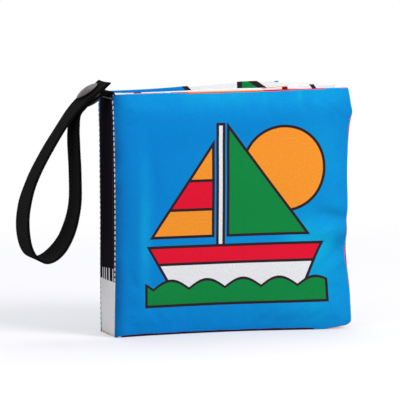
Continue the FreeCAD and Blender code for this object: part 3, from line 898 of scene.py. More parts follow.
class BackCover(Cover):
    """The cover with the tree. It bows away from the leaves."""

    side = BACK_SIDE
    turn_radius = 1.7 * MM
    width = 121.8 * MM
    tongue = 1.2 * MM
    pillow = ((0.3 * MM, 5 * MM), (1.0 * MM, 10 * MM), (0.5 * MM, 4 * MM), (1.0 * MM, 10 * MM))
    corners = ((4 * MM, 4 * MM, False), (6 * MM, 4 * MM, True))
    stitch_stray = (2.67, -0.90, 0.0)
    print_stray = (3.37, 0.50, 1.2)
    relief = (
        (14, 70, 92, 36, 3.6, 0.6),
        (110, 66, -25, 14, 3.0, -0.8),
        (102, 84, 35, 18, 6.0, 0.5),
        (70, 112, 12, 22, 5.0, 0.5),
        (60, 20, -10, 26, 6.0, -0.4),
    )

    def sway(self, across, up):
        """The cover bows away from the leaves."""
        bow = 3.2 * MM * math.sin(math.pi * min(across / self.width, 1.0))
        return bow - self.soft_relief(across, up) * blend(across / (6 * MM))

    def side_shift(self, across, up):
        """The hem puffs out past the spine where it turns, at its lower half and its top."""
        share = up / BOOK_HEIGHT
        puff = blend((0.5 - share) / 0.3) + 0.7 * blend((share - 0.8) / 0.18)
        return -0.6 * MM * puff * hump(across, -0.5 * self.turn, 0.6 * self.turn)

    def lift(self, across, up):
        """The top edge rises towards the fore-edge and falls again."""
        rise = 3.0 * MM * hump(across, 84 * MM, 41 * MM) * up / BOOK_HEIGHT * blend(across / (12 * MM))
        return rise + top_dip(across, up, 0.9 * MM, 2.2 * MM)


COVER_STEP = 1.5 * MM            # size of a cover's cells
TURN_CELLS = 8                   # cells round the turn of a hem


def cover_cloth(name, paint, cover, strips):
    """Outer cloth of a cover: its print, the lining rolled over its edges, the spine's cloth at the fold."""

    def edge(p):
        w = p.w
        distances = {
            "top": (p.u, w.math("SUBTRACT", BOOK_HEIGHT / MM, p.v)),
            "foot": (p.u, p.v),
            "fore": (p.v, w.math("SUBTRACT", cover.width / MM, p.u)),
        }
        for place, start, end, reach, value in strips:
            along, distance = distances[place]
            p.strip(along, start, end, distance, reach, value)
        foot, lean, bow = cover.print_stray
        share = w.math("MULTIPLY", p.v, MM / BOOK_HEIGHT)
        arch = w.math("MULTIPLY", share, w.math("SUBTRACT", 1.0, share))
        stray = w.math("SUBTRACT", w.math("MULTIPLY", share, lean), w.math("MULTIPLY", arch, 4.0 * bow))
        past = w.math("ADD", p.u, stray)
        on_spine = w.ramp(past, -foot - STRIP_BLUR, -foot + STRIP_BLUR, 1.0, 0.0)
        pale = w.ramp(p.v, PALE_FOOT - 0.1, PALE_FOOT + 0.1, 1.0, 0.0)
        spine = w.mix(pale, flat(colours().black), flat(colours().grey))
        p.colour = w.mix(on_spine, p.colour, spine)

    return cloth_material(name, colours().blue, paint, edge)


def sew_cover(node, cover, outer, lining, seed):
    """Sews and swells a cover, and bakes its placement into its mesh."""
    columns = stations(cover.start, cover.width, COVER_STEP, fold_columns(cover))
    rows = stations(0.0, BOOK_HEIGHT, COVER_STEP)
    piece = sewn(f"{node}_cloth", columns, rows, cover.place, (outer, lining),
                 pin_reach=(-cover.start, 7 * MM))
    swollen(piece, pressure=1.6, slack=0.012, most=0.7 * MM, seed=seed)
    smoothed(piece)
    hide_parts(node)
    fold_ends(piece, cover)


def fold_columns(cover):
    """Close columns round the turn of a hem and just past it."""
    return [-cover.turn * i / TURN_CELLS for i in range(TURN_CELLS + 1)] + [0.5 * MM, 1.0 * MM]


def fold_ends(piece, cover):
    """Bakes the piece's placement into its mesh."""
    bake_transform(piece)


class CRINKLE_OT_front_cover(bpy.types.Operator):
    """Makes the padded front cover with its printed cloth, its lining and the hem round its fold"""

    bl_idname = "crinkle.front_cover"
    bl_label = "Front Cover"

    def execute(self, context):
        c = colours()
        cover = FrontCover()
        strips = (
            ("top", -1, 7, 0.30, c.white),
            ("top", 6, 27, 0.30, c.pink),
            ("top", 27, 31, 0.22, c.white),
            ("top", 31, 39, 0.35, c.red),
            ("top", 38, 80, 0.95, c.red),
            ("top", 78, 97, 0.75, c.red),
            ("top", 95, 113, 0.50, c.red),
            ("top", 39, 80, 0.58, c.orange),
            ("top", 121, 124.6, 0.35, c.red),
            ("fore", 102, 111, 0.65, c.red),
            ("fore", 92, 103, 0.35, c.red),
            ("fore", 33, 44, 0.95, c.red),
            ("fore", 20, 34, 0.40, c.red),
            ("fore", 44, 58, 0.35, c.red),
            ("foot", 112, 123, 0.35, c.pink),
            ("foot", 0, 3, 0.60, c.white),
            # painted shade: a dark red strip along the foot, for the lining in the shade under the cover
            ("foot", 2, 106, 1.15, c.shaded_lining_red),
        )
        outer = cover_cloth("front cover cloth", front_print, cover, strips)
        lining = cloth_material("front cover lining", c.red, front_lining_print)
        sew_cover("front_cover", cover, outer, lining, 1)
        return {"FINISHED"}


class CRINKLE_OT_back_cover(bpy.types.Operator):
    """Makes the padded back cover with its printed cloth, its lining and the hem round its fold"""

    bl_idname = "crinkle.back_cover"
    bl_label = "Back Cover"

    def execute(self, context):
        c = colours()
        cover = BackCover()
        strips = (
            ("top", 4, 118, 0.30, c.white),
            ("fore", 20, 70, 0.30, c.white),
            ("foot", 4, 118, 0.35, c.white),
        )
        outer = cover_cloth("back cover cloth", back_print, cover, strips)
        # painted light: the back lining takes the lighter copy of the white
        lining = cloth_material("back cover lining", c.bright, back_lining_print, bump=0.15)
        sew_cover("back_cover", cover, outer, lining, 2)
        return {"FINISHED"}


# --- Leaves and film ----------------------------------------------------------------------------

LEAF_COUNT = 3
LEAF_START = -59.2 * MM
LEAF_WIDTH = PAGES_HIGH.x - LEAF_START
LEAF_HEIGHT = PAGES_HIGH.z
LEAF_STEP = 2.2 * MM             # size of a leaf's cells

# How each leaf's top edge rises in millimetres: place from the seam, half width and height of each swell
LEAF_RISES = (
    ((13, 13, 0.9), (90, 12, 1.9)),
    ((108, 30, 2.3),),
    ((70, 34, 0.8),),
)
LEAF_DROP = 0.3 * MM             # how far the top edge hangs elsewhere


class Leaf:
    """A padded leaf that fans out a little from its sewn edge."""

    def __init__(self, index):
        self.index = index
        self.outer = index - (LEAF_COUNT - 1) / 2
        room = 2 * FOLD_Y - 2 * sizes().cover_thickness
        self.seat = -FOLD_Y + sizes().cover_thickness + room * (index + 1) / (LEAF_COUNT + 1)
        self.width = LEAF_WIDTH - 1.0 * MM * abs(self.outer)
        self.height = LEAF_HEIGHT

    def middle(self, across):
        """The y of the middle between the leaf's two cloths."""
        along = across / LEAF_WIDTH
        fan = 1.6 * MM * self.outer * blend(along)
        wave = 0.5 * MM * math.sin(2 * math.pi * along) * (-1) ** self.index
        return self.seat + fan + wave

    def rise(self, across, up):
        """The top edge dips and rises a little along the leaf."""
        swells = sum(height * hump(across / MM, peak, run) for peak, run, height in LEAF_RISES[self.index])
        return (swells * MM - LEAF_DROP) * (up / self.height) ** 4 * blend(across / (9 * MM))

    def half(self, across, up):
        """Half the thickness."""
        low = min(up, self.height - up)
        hem_half = sizes().leaf_hem / 2
        sides = swell(min(across, self.width - across), sizes().leaf_roll)
        ends = swell(low, sizes().leaf_roll)
        hem = hem_half * min(round_edge(low, hem_half), round_edge(across, hem_half),
                             round_edge(self.width - across, hem_half))
        return hem + (sizes().leaf_thickness / 2 - hem_half) * sides * ends

    def place(self, across, up, face):
        y = self.middle(across) - face * self.half(across, up)
        return Vector((LEAF_START + across, y, up + self.rise(across, up)))


class CRINKLE_OT_leaves(bpy.types.Operator):
    """Makes the printed leaves and the strip that gathers their sewn edges"""

    bl_idname = "crinkle.leaves"
    bl_label = "Leaves"

    def execute(self, context):
        c = colours()
        for index in range(LEAF_COUNT):
            leaf = Leaf(index)
            materials = [cloth_material(f"leaf {index + 1} {word}", c.white, paint, bump=0.15)
                         for paint, word in zip(LEAF_PRINTS[index], ("front", "back"))]
            columns = stations(0.0, leaf.width, LEAF_STEP)
            rows = stations(0.0, leaf.height, LEAF_STEP)
            piece = sewn(f"leaf_{index + 1}", columns, rows, leaf.place, materials, pin_reach=(0.0, 6 * MM))
            swollen(piece, pressure=0.8, slack=0.010, most=0.45 * MM, seed=3 + index)
            smoothed(piece)
            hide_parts("pages")
            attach(piece, "book_block")
        binding_strip()
        return {"FINISHED"}


def along_z(edge):
    return abs(edge.verts[0].co.z - edge.verts[1].co.z)


def binding_strip():
    """The folded strip at the leaves' sewn edges, just inside the spine."""
    past_leaves, depth = 2.5 * MM, 3.4 * MM
    rounded = {"offset_type": "OFFSET", "profile": 0.5, "affect": "EDGES", "material": -1}
    low = Vector((PAGES_LOW.x, Leaf(0).seat - past_leaves, 0.0))
    high = Vector((PAGES_LOW.x + depth, Leaf(LEAF_COUNT - 1).seat + past_leaves, LEAF_HEIGHT))
    bm = bmesh.new()
    bmesh.ops.create_cube(bm, size=1.0)
    bmesh.ops.scale(bm, vec=high - low, verts=bm.verts)
    bmesh.ops.translate(bm, vec=(low + high) / 2, verts=bm.verts)
    upright = [edge for edge in bm.edges if along_z(edge) > LEAF_HEIGHT / 2]
    bmesh.ops.bevel(bm, geom=upright, offset=1.0 * MM, segments=3, **rounded)
    around = [edge for edge in bm.edges if along_z(edge) < 1e-6]
    bmesh.ops.bevel(bm, geom=around, offset=0.4 * MM, segments=2, **rounded)
    uv = bm.loops.layers.uv.new("Cloth")
    for face in bm.faces:
        for loop in face.loops:
            loop[uv].uv = (loop.vert.co.y, loop.vert.co.z)
    piece = finished("binding_strip", bm, [cloth_material("binding cloth", colours().white)])
    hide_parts("pages")
    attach(piece, "book_block")


def film_material():
    """Pale film with sharp creases between its facets."""
    material, w, shader = new_material("crackling film")
    place = w.node("ShaderNodeTexCoord").outputs["Object"]
    cells = w.node("ShaderNodeTexVoronoi", {"Vector": place, "Scale": 160.0}, feature="DISTANCE_TO_EDGE")
    crease = cells.outputs["Distance"]
    pale = flat((0.9, 0.9, 0.92))
    w.feed(shader.inputs["Roughness"], w.ramp(crease, 0.0, 0.08, 0.45, 0.18))
    w.feed(shader.inputs["Base Color"], w.mix(w.ramp(crease, 0.0, 0.05), pale, flat(colours().film)))
    w.feed(shader.inputs["Normal"], w.bump(crease, 0.4, 0.3 * MM))
    return material


class CRINKLE_OT_film(bpy.types.Operator):
    """Makes the crumpled film that lies inside each cover and each leaf"""

    bl_idname = "crinkle.film"
    bl_label = "Crackling Film"

    def execute(self, context):
        material = film_material()
        beds = [
            ("front_cover_film", FrontCover(), "front_cover", BOOK_HEIGHT),
            ("back_cover_film", BackCover(), "back_cover", BOOK_HEIGHT),
        ]
        beds += [(f"leaf_{i + 1}_film", Leaf(i), "book_block", LEAF_HEIGHT) for i in range(LEAF_COUNT)]
        for node, bed, body, height in beds:
            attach(crumpled_film(node, bed, height, material), body)
        return {"FINISHED"}


FILM_MARGIN = 6.5 * MM           # from a cover's or a leaf's edge to its film
FILM_THICKNESS = 0.04 * MM
FILM_CELLS = 56                  # along each side
CRUMPLE = 0.44 * MM              # how far the film's crumples reach to each side
CRUMPLES = 110.0                 # per metre


def crumpled_film(node, bed, height, material):
    """The film in the middle of its bed, which is a cover or a leaf of a height."""
    width, height = bed.width - 2 * FILM_MARGIN, height - 2 * FILM_MARGIN
    columns = [FILM_MARGIN + width * i / FILM_CELLS for i in range(FILM_CELLS + 1)]
    rows = [FILM_MARGIN + height * i / FILM_CELLS for i in range(FILM_CELLS + 1)]

    def place(across, up, face):
        at_edge = across in (columns[0], columns[-1]) or up in (rows[0], rows[-1])
        middle = (bed.place(across, up, 1) + bed.place(across, up, -1)) / 2
        crumple = CRUMPLE * noise.noise(Vector((across * CRUMPLES, up * CRUMPLES, len(node))))
        return middle + Vector((0.0, crumple + (0 if at_edge else face) * FILM_THICKNESS / 2, 0.0))

    piece = sewn(node + "_sheet", columns, rows, place, (material,))
    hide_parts(node)
    return piece


# --- Spine, stitches and strap ------------------------------------------------------------------


def spine_place(across, up, face):
    """Outer cloth of the spine for face 1. across runs from the front fold to the back fold."""
    half_width = SPINE_HIGH.y
    share = across / half_width
    bulge = sizes().spine_bulge * (1.0 - share ** 2)
    thick = SPINE_HIGH.x - LEFT
    low = min(up, SPINE_TOP - up)
    rounding = min(round_edge(low, thick / 2), round_edge(half_width - abs(across), thick / 2))
    middle = LEFT + thick / 2 - bulge * swell(low + 4 * MM, 10 * MM)
    return Vector((middle - face * thick / 2 * rounding, across, up))


class CRINKLE_OT_spine(bpy.types.Operator):
    """Makes the spine's stiffened cloth with its printed bars and pale foot"""

    bl_idname = "crinkle.spine"
    bl_label = "Spine"

    def execute(self, context):
        material = cloth_material("spine cloth", colours().black, spine_print, sheen=0.0, specular=0.0)
        columns = stations(SPINE_LOW.y, SPINE_HIGH.y, 1.0 * MM)
        rows = stations(0.0, SPINE_TOP, 1.5 * MM)
        piece = sewn("spine_cloth", columns, rows, spine_place, (material,))
        smoothed(piece)
        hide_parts("spine")
        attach(piece, "book_block")
        return {"FINISHED"}


def thread_material(name, value):
    """Twisted thread."""
    material, w, shader = new_material(name)
    place = w.node("ShaderNodeTexCoord").outputs["Object"]
    inputs = {"Vector": place, "Scale": 900.0, "Distortion": 1.5}
    twist = w.node("ShaderNodeTexWave", inputs, bands_direction="DIAGONAL").outputs["Fac"]
    dark = flat([part * 0.72 for part in value])
    w.feed(shader.inputs["Base Color"], w.mix(twist, dark, flat(value)))
    w.feed(shader.inputs["Roughness"], w.ramp(twist, 0.0, 1.0, 0.75, 0.55))
    w.feed(shader.inputs["Normal"], w.bump(twist, 0.5, 0.08 * MM))
    shader.inputs["Sheen Weight"].default_value = 0.2
    return material


def stitches(name, node, material, places, size):
    """One rounded stitch at each place. size is along x, y and z."""
    rng = random.Random(name)
    bm = bmesh.new()
    for place in places:
        tilt = Matrix.Rotation(math.radians(rng.uniform(-5, 5)), 4, "X")
        shape = Matrix.Diagonal((*[s / 2 * rng.uniform(0.93, 1.05) for s in size], 1.0))
        bmesh.ops.create_uvsphere(bm, u_segments=8, v_segments=6, radius=1.0,
                                  matrix=Matrix.Translation(place) @ tilt @ shape)
    piece = finished(name, bm, [material])
    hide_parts(node)
    return piece


TACK_COUNT = 13
TACK_END = 0.5 * MM              # from the end of the tack to its first stitch
TACK_SIZE = (0.5 * MM, 1.25 * MM, 0.8 * MM)


class CRINKLE_OT_stitches(bpy.types.Operator):
    """Makes the running stitches down both folds and the tack that holds the strap"""

    bl_idname = "crinkle.stitches"
    bl_label = "Stitches"

    def execute(self, context):
        s = sizes()
        material = thread_material("fold thread", colours().thread)
        for word, cover in (("front", FrontCover()), ("back", BackCover())):
            low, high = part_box(f"{word}_fold_stitches")
            count = round((high.z - low.z - s.stitch_length) / s.stitch_pitch) + 1
            heights = [low.z + s.stitch_length / 2 + s.stitch_pitch * i for i in range(count)]
            places = [cover.stitch_place(up) for up in heights]
            piece = stitches(f"{word}_fold_thread", f"{word}_fold_stitches", material, places,
                             (s.thread_width, s.thread_width, s.stitch_length))
            fold_ends(piece, cover)
        low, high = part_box("strap_tack")
        pitch = (high.y - low.y - TACK_END * 2) / (TACK_COUNT - 1)
        places = []
        for i in range(TACK_COUNT):
            y = low.y + TACK_END + pitch * i
            outer = spine_place(y, low.z, 1)
            places.append(Vector((outer.x - 0.05 * MM, y, (low.z + high.z) / 2)))
        tack = thread_material("tack thread", colours().tack)
        piece = stitches("strap_tack_thread", "strap_tack", tack, places, TACK_SIZE)
        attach(piece, "book_block")
        return {"FINISHED"}


# The strap's centreline from the sewn tab to the free end: out from the spine's outer face and up from
# the spine's top edge, twist about the upright, tip of the width (degrees), and how far the edges
# curl towards the inside of the loop (millimetres)
STRAP_ROUTE = (
    (-1.05, -11.0, 0.0, 0.0, 0.0),
    (-1.05, -5.0, 0.0, 0.0, 0.0),
    (-1.0, -0.6, 0.0, 0.0, 0.0),
    (-0.55, 0.75, 0.0, 0.0, 0.0),
    (0.5, 1.1, 0.0, 0.0, 0.0),
    (2.4, 0.6, 0.0, 0.0, 0.0),
    (4.7, -0.35, 0.0, 0.0, 0.3),
    (7.0, -1.56, 0.0, 0.0, 0.9),
    (9.4, -3.2, 0.0, 0.0, 0.9),
    (12.4, -5.27, 0.0, 0.0, 0.5),
    (15.4, -7.4, 1.0, 0.0, 0.0),
    (17.6, -10.2, 2.5, 0.0, 0.0),
    (18.6, -16.5, 4.5, 0.0, 0.0),
    (18.7, -24.7, 6.0, 0.0, 0.0),
    (18.1, -41.7, 6.0, 0.0, 0.0),
    (18.6, -57.7, 6.0, 1.5, 0.0),
    (22.6, -71.7, 7.0, 7.0, 0.0),
    (28.9, -80.9, 8.0, 9.5, 0.0),
    (36.6, -84.8, 8.5, 6.5, 0.0),
    (43.0, -80.8, 8.0, 1.0, 0.0),
    (46.0, -70.0, 8.5, 0.0, 0.0),
    (45.3, -57.2, 7.0, 0.0, 0.0),
    (41.0, -43.7, 3.0, 1.0, 0.0),
    (33.6, -29.7, 0.8, 3.0, 0.0),
    (24.8, -16.0, -1.5, 4.0, 0.0),
    (20.2, -9.6, 0.3, 4.5, 0.1),
    (15.6, -3.9, 2.6, 4.5, 0.7),
    (10.4, 0.58, 3.4, 3.5, 1.0),
    (5.6, 3.7, 4.4, 2.4, 0.7),
    (1.9, 6.1, 5.2, 1.4, 0.0),
)
STRAP_MIDDLE = -4.35 * MM        # the y of the strap's centreline
ROUTE_CELLS = 24                 # samples between two points of the route


def fine_route():
    """Close samples down the strap's smooth centreline: point, and twist, tip and curl."""
    points = [Vector((LEFT - out * MM, STRAP_MIDDLE, SPINE_TOP + up * MM)) for out, up, *_ in STRAP_ROUTE]
    turns = [row[2:] for row in STRAP_ROUTE]
    fine = []
    for i in range(len(points) - 1):
        before, after = points[max(i - 1, 0)], points[min(i + 2, len(points) - 1)]
        span = (points[i + 1] - points[i]).length
        start_pull = (points[i + 1] - before).normalized() * span
        end_pull = (after - points[i]).normalized() * span
        for j in range(ROUTE_CELLS):
            t = j / ROUTE_CELLS
            spot = hermite(points[i], points[i + 1], start_pull, end_pull, t)
            fine.append((spot, [a + (b - a) * blend(t) for a, b in zip(turns[i], turns[i + 1])]))
    fine.append((points[-1], turns[-1]))
    return fine


def route_samples(step):
    """Even samples down the strap: distance, point, direction across, and curl of the edges."""
    fine = fine_route()
    far = [0.0]
    for (a, _), (b, _) in zip(fine, fine[1:]):
        far.append(far[-1] + (b - a).length)
    count = round(far[-1] / step)
    samples = []
    at = 0
    for i in range(count + 1):
        distance = far[-1] * i / count
        while at < len(far) - 2 and far[at + 1] < distance:
            at += 1
        t = (distance - far[at]) / max(far[at + 1] - far[at], 1e-12)
        twist, tip, curl = (a + (b - a) * t for a, b in zip(fine[at][1], fine[at + 1][1]))
        twist, tip = math.radians(twist), math.radians(tip)
        side = Vector((-math.sin(twist), math.cos(twist), math.sin(tip))).normalized()
        samples.append((distance, fine[at][0].lerp(fine[at + 1][0], t), side, curl * MM))
    return samples


def hermite(a, b, pull_a, pull_b, t):
    """A point of the smooth curve from a to b that leaves and arrives along the pulls."""
    return (a * (2 * t ** 3 - 3 * t ** 2 + 1) + pull_a * (t ** 3 - 2 * t ** 2 + t)
            + b * (3 * t ** 2 - 2 * t ** 3) + pull_b * (t ** 3 - t ** 2))


YARN_PITCH = 0.55                # in millimetres, across the strap
SELVEDGE = (6.9, 7.6)            # from the strap's middle, where its ribs end and its side begins


def webbing_material():
    """Ribs across the strap, yarns along it, and a darker selvedge at each side."""
    material, w, shader = new_material("ribbed webbing")
    webbing = colours().webbing
    p = Print(w, webbing)
    rib = w.math("MULTIPLY", w.math("DIVIDE", p.v, sizes().rib_pitch / MM), math.pi)
    ridge = w.math("ABSOLUTE", w.math("SINE", rib))
    yarn = w.math("ABSOLUTE", w.math("SINE", w.math("MULTIPLY", p.u, math.pi / YARN_PITCH)))
    fuzz = w.cloud(p.vector, 1400.0)
    fine = w.math("ADD", w.math("MULTIPLY", yarn, 0.35), w.math("MULTIPLY", fuzz, 0.4))
    selvedge = w.ramp(w.math("ABSOLUTE", p.u), *SELVEDGE, 1.0, 0.35)
    # painted shading: the rib crests are lighter and the grooves between them darker
    light = w.math("MULTIPLY", selvedge, w.ramp(ridge, 0.0, 1.0, 0.1, 1.6))
    w.feed(shader.inputs["Base Color"], w.mix(1.0, flat(webbing), w.grey(light), "MULTIPLY"))
    w.feed(shader.inputs["Roughness"], w.ramp(fuzz, 0.3, 0.7, 0.62, 0.74))
    w.feed(shader.inputs["Normal"], w.bump(w.math("ADD", ridge, fine), 0.5, 0.12 * MM))
    shader.inputs["Sheen Weight"].default_value = 0.0
    shader.inputs["Specular IOR Level"].default_value = 0.0
    return material


FLAT_UNDER_STUD = 4.6 * MM       # half width of the webbing that the stud holds flat
STRAP_END = 0.4 * MM             # length over which the strap thins to nothing at its cut ends
RIB_HEIGHT = 0.08 * MM
SERRATION = 0.055                # share by which the ribs widen the strap at its edges
FRAY = 0.5 * MM                  # how far the free end's corners stand out
FRAY_LENGTH = 2 * MM


class CRINKLE_OT_strap(bpy.types.Operator):
    """Makes the ribbed webbing strap in its closed loop"""

    bl_idname = "crinkle.strap"
    bl_label = "Strap"

    def execute(self, context):
        s = sizes()
        samples = route_samples(s.rib_pitch / 4)
        half_width, half_thick = s.strap_width / 2, s.strap_thickness / 2
        total = samples[-1][0]
        rows = [distance for distance, *_ in samples]
        at = {distance: i for i, distance in enumerate(rows)}
        columns = stations(-half_width, half_width, 1.4 * MM)

        def place(across, along, face):
            i = at[along]
            _, point, side, curl = samples[i]
            ahead = samples[min(i + 1, len(samples) - 1)][1] - samples[max(i - 1, 0)][1]
            out = side.cross(ahead).normalized()
            from_middle = abs(across)
            ridge = abs(math.sin(math.pi * along / s.rib_pitch))
            rounding = min(round_edge(half_width - from_middle, half_thick * 0.8),
                           round_edge(along, STRAP_END), round_edge(total - along, STRAP_END))
            lift = (half_thick - 0.06 * MM + RIB_HEIGHT * ridge) * rounding
            bent = max(0.0, from_middle - FLAT_UNDER_STUD) / (half_width - FLAT_UNDER_STUD)
            serration = 1.0 + SERRATION * (ridge - 0.5)
            frayed = (across / half_width) ** 2 * blend((along - total + FRAY_LENGTH) / FRAY_LENGTH)
            spot = point + side * across * serration + out * (face * lift + curl * bent ** 1.3)
            return spot + ahead.normalized() * FRAY * frayed

        piece = sewn("webbing_strap", columns, rows, place, (webbing_material(),))
        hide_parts("strap")
        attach(piece, "book_block")
        return {"FINISHED"}


# --- Press stud ---------------------------------------------------------------------------------


def plastic_material():
    """Dark plastic with a fine grain and dull scuffs."""
    material, w, shader = new_material("stud plastic")
    place = w.node("ShaderNodeTexCoord").outputs["Object"]
    scuff = w.cloud(place, 260.0, 4.0)
    value = colours().plastic
    worn = flat([part * 0.85 for part in value])
    w.feed(shader.inputs["Base Color"], w.mix(w.ramp(scuff, 0.35, 0.65), worn, flat(value)))
    w.feed(shader.inputs["Roughness"], w.ramp(scuff, 0.3, 0.7, 0.34, 0.46))
    w.feed(shader.inputs["Normal"], w.bump(w.cloud(place, 1500.0, 3.0), 0.15, 0.05 * MM))
    return material


CAP_RADIUS = 6.35 * MM
CAP_DOME = 1.5 * MM              # height of the dome above the rim
CAP_EDGE = 0.4 * MM              # thickness of the rim
CAP_GAP = 0.8 * MM               # how far the upper cap's rim stands off the webbing


def stud_cap(name, node, seat, outward, gap, material):
    """A thin domed cap turned about the stud's axis, its rim a gap above its seat on the webbing."""
    flat_radius = CAP_RADIUS * 0.97
    stem_foot = -gap - 0.4 * MM
    dome = (CAP_RADIUS ** 2 + CAP_DOME ** 2) / (2 * CAP_DOME)
    outline = []
    for i in range(10):
        radius = flat_radius * i / 9
        outline.append((radius, CAP_EDGE + CAP_DOME + math.sqrt(dome ** 2 - radius ** 2) - dome))
    outline += [
        (CAP_RADIUS, CAP_EDGE * 0.75),
        (CAP_RADIUS, CAP_EDGE * 0.25),
        (flat_radius, 0.0),
        (CAP_RADIUS * 0.6, 0.12 * MM),
        (2.0 * MM, 0.10 * MM),
        (1.9 * MM, stem_foot),
        (0.0, stem_foot),
    ]
    bm = bmesh.new()
    verts = [bm.verts.new((radius, 0.0, height)) for radius, height in outline]
    edges = [bm.edges.new(pair) for pair in zip(verts, verts[1:])]
    bmesh.ops.spin(bm, geom=verts + edges, cent=(0, 0, 0), axis=(0, 0, 1), angle=math.tau, steps=48,
                   use_merge=True)
    bmesh.ops.remove_doubles(bm, verts=bm.verts[:], dist=1e-6)
    turn = outward.to_track_quat("Z", "Y").to_matrix().to_4x4()
    bmesh.ops.transform(bm, matrix=Matrix.Translation(seat + outward * gap) @ turn, verts=bm.verts)
    piece = finished(name, bm, [material])
    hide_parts(node)
    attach(piece, "book_block")


def stud_seats():
    """Where the stud's axis passes the webbing: on top of the upper layer and under the lower one."""
    low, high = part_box("snap_socket")
    middle = (low + high) / 2
    samples = route_samples(1.0 * MM)
    half = len(samples) // 2
    seats = []
    for layer, face in ((samples[half:], 1), (samples[:half], -1)):
        offsets = [Vector((point.x, middle.y, point.z)) - middle for _, point, *_ in layer]
        reach = min((far.cross(STUD_AXIS).length, far.dot(STUD_AXIS)) for far in offsets)[1]
        seats.append(middle + STUD_AXIS * (reach + face * sizes().strap_thickness / 2))
    return seats


class CRINKLE_OT_press_stud(bpy.types.Operator):
    """Makes the press stud's two caps and gives the socket and the stud their plastic"""

    bl_idname = "crinkle.press_stud"
    bl_label = "Press Stud"

    def execute(self, context):
        material = plastic_material()
        upper, lower = stud_seats()
        stud_cap("stud_cap_upper", "snap_cap_outer", upper, STUD_AXIS, CAP_GAP, material)
        stud_cap("stud_cap_lower", "snap_cap_inner", lower, -STUD_AXIS, 0.0, material)
        for node in ("snap_socket", "snap_stud"):
            mesh = frame["nodes"][node].data
            mesh.materials.clear()
            mesh.materials.append(material)
        return {"FINISHED"}


# --- Stage --------------------------------------------------------------------------------------

WHITE = (1.0, 1.0, 1.0, 1.0)
VIEW_AZIMUTH = math.radians(-16.84)
VIEW_ELEVATION = math.radians(5.59)
VIEW_ROLL = math.radians(-0.43)
VIEW_DISTANCE = 2.0
VIEW_CENTRE = Vector((0.0, -1.0 * MM, 63.5 * MM))
VIEW_AIM = (-13.12 * MM, 4.60 * MM)    # right of and above the centre, where the camera points
VIEW_LENS = 344.5                # focal length in millimetres
FLOOR_GLOW = 0.33
LAMP_AIM = Vector((0.0, 0.0, 0.06))
LAMPS = (                        # name, place, size and power
    ("key light", (0.55, -0.8, 0.8), 0.5, 9.5),
    ("fill light", (-1.4, -0.7, 0.5), 0.9, 6.0),
    ("top light", (0.1, 0.7, 1.5), 1.2, 9.0),
)


def aim_camera():
    """A camera that looks at the front and the spine from a little above."""
    back = Vector((math.sin(VIEW_AZIMUTH) * math.cos(VIEW_ELEVATION),
                   -math.cos(VIEW_AZIMUTH) * math.cos(VIEW_ELEVATION), math.sin(VIEW_ELEVATION)))
    level = Vector((math.cos(VIEW_AZIMUTH), math.sin(VIEW_AZIMUTH), 0.0))
    upright = back.cross(level)
    right = level * math.cos(VIEW_ROLL) + upright * math.sin(VIEW_ROLL)
    up = upright * math.cos(VIEW_ROLL) - level * math.sin(VIEW_ROLL)
    eye = VIEW_CENTRE + back * VIEW_DISTANCE
    aim = VIEW_CENTRE + right * VIEW_AIM[0] + up * VIEW_AIM[1]
    z = (eye - aim).normalized()
    x = (right - z * right.dot(z)).normalized()
    y = z.cross(x)
    data = bpy.data.cameras.new("camera")
    data.lens = VIEW_LENS
    data.sensor_width = 36.0
    data.clip_end = 20.0
    camera = bpy.data.objects.new("camera", data)
    camera.matrix_world = Matrix.Translation(eye) @ Matrix((x, y, z)).transposed().to_4x4()
    bpy.context.scene.collection.objects.link(camera)
    bpy.context.scene.camera = camera


def soft_lamp(name, place, size, power):
    """A square lamp that points at the book."""
    data = bpy.data.lights.new(name, "AREA")
    data.size = size
    data.energy = power
    lamp = bpy.data.objects.new(name, data)
    lamp.location = place
    lamp.rotation_euler = (LAMP_AIM - Vector(place)).to_track_quat("-Z", "Y").to_euler()
    bpy.context.scene.collection.objects.link(lamp)


def floor_material():
    """White paper that keeps a soft shadow near the book and gives way to the white beyond."""
    material, w, shader = new_material("studio floor")
    place = w.node("ShaderNodeTexCoord").outputs["Object"]
    far = w.node("ShaderNodeVectorMath", {0: place}, operation="LENGTH").outputs["Value"]
    seen = w.node("ShaderNodeLightPath").outputs["Is Camera Ray"]
    # painted reflection: as seen, the floor has a faint blue cast from the blue cover; light bouncing off it
    # sees plain grey
    w.feed(shader.inputs["Base Color"], w.mix(seen, flat((0.47, 0.47, 0.47)), flat((0.58, 0.58, 0.62))))
    w.feed(shader.inputs["Roughness"], w.ramp(w.cloud(place, 3.0), 0.0, 1.0, 0.5, 0.6))
    shader.inputs["Emission Color"].default_value = WHITE
    w.feed(shader.inputs["Emission Strength"], w.math("MULTIPLY", seen, FLOOR_GLOW))
    w.feed(shader.inputs["Alpha"], w.ramp(far, 0.25, 0.60, 1.0, 0.0))
    shader.inputs["Specular IOR Level"].default_value = 0.0
    return material


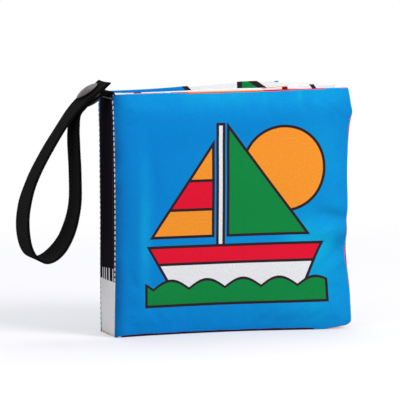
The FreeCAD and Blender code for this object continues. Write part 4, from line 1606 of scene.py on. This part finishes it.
def white_world():
    """White where it is seen or mirrored, and a soft light on the object."""
    world = bpy.data.worlds.new("studio")
    bpy.context.scene.world = world
    world.use_nodes = True
    w = Wiring(world.node_tree)
    world.node_tree.nodes.clear()
    path = w.node("ShaderNodeLightPath").outputs
    mirrored = w.math("MAXIMUM", path["Is Glossy Ray"], path["Is Transmission Ray"])
    seen = w.math("MAXIMUM", path["Is Camera Ray"], mirrored)
    strength = w.ramp(seen, 0.0, 1.0, 0.51, 1.0)
    background = w.node("ShaderNodeBackground", {"Color": WHITE, "Strength": strength})
    output = w.node("ShaderNodeOutputWorld")
    w.feed(output.inputs["Surface"], background.outputs[0])


class CRINKLE_OT_stage(bpy.types.Operator):
    """Sets the floor, the studio light and the camera"""

    bl_idname = "crinkle.stage"
    bl_label = "Stage"

    def execute(self, context):
        bm = bmesh.new()
        bmesh.ops.create_grid(bm, x_segments=8, y_segments=8, size=4.0)
        floor = finished("studio_floor", bm, [floor_material()])
        white_world()
        for values in LAMPS:
            soft_lamp(*values)
        aim_camera()
        context.scene.view_settings.view_transform = "Standard"
        return {"FINISHED"}


# --- Panel and registration ---------------------------------------------------------------------

STEPS = (
    CRINKLE_OT_front_cover,
    CRINKLE_OT_back_cover,
    CRINKLE_OT_leaves,
    CRINKLE_OT_film,
    CRINKLE_OT_spine,
    CRINKLE_OT_stitches,
    CRINKLE_OT_strap,
    CRINKLE_OT_press_stud,
    CRINKLE_OT_stage,
)


class CRINKLE_PT_panel(bpy.types.Panel):
    """Lists the book's pieces, sizes and colours"""

    bl_idname = "CRINKLE_PT_panel"
    bl_label = "Crinkle Book"
    bl_space_type = "VIEW_3D"
    bl_region_type = "UI"
    bl_category = "Crinkle Book"

    def draw(self, context):
        for step in STEPS:
            self.layout.operator(step.bl_idname)
        for group in (context.scene.crinkle_book_sizes, context.scene.crinkle_book_colours):
            box = self.layout.box()
            for key in group.__annotations__:
                box.prop(group, key)


CLASSES = (BookSizes, BookColours, *STEPS, CRINKLE_PT_panel)


def register():
    for cls in CLASSES:
        bpy.utils.register_class(cls)
    bpy.types.Scene.crinkle_book_sizes = PointerProperty(type=BookSizes)
    bpy.types.Scene.crinkle_book_colours = PointerProperty(type=BookColours)


def unregister():
    del bpy.types.Scene.crinkle_book_colours
    del bpy.types.Scene.crinkle_book_sizes
    for cls in reversed(CLASSES):
        bpy.utils.unregister_class(cls)


def main():
    register()
    for step in STEPS:
        group, name = step.bl_idname.split(".")
        getattr(getattr(bpy.ops, group), name)()


if __name__ == "__main__":
    main()
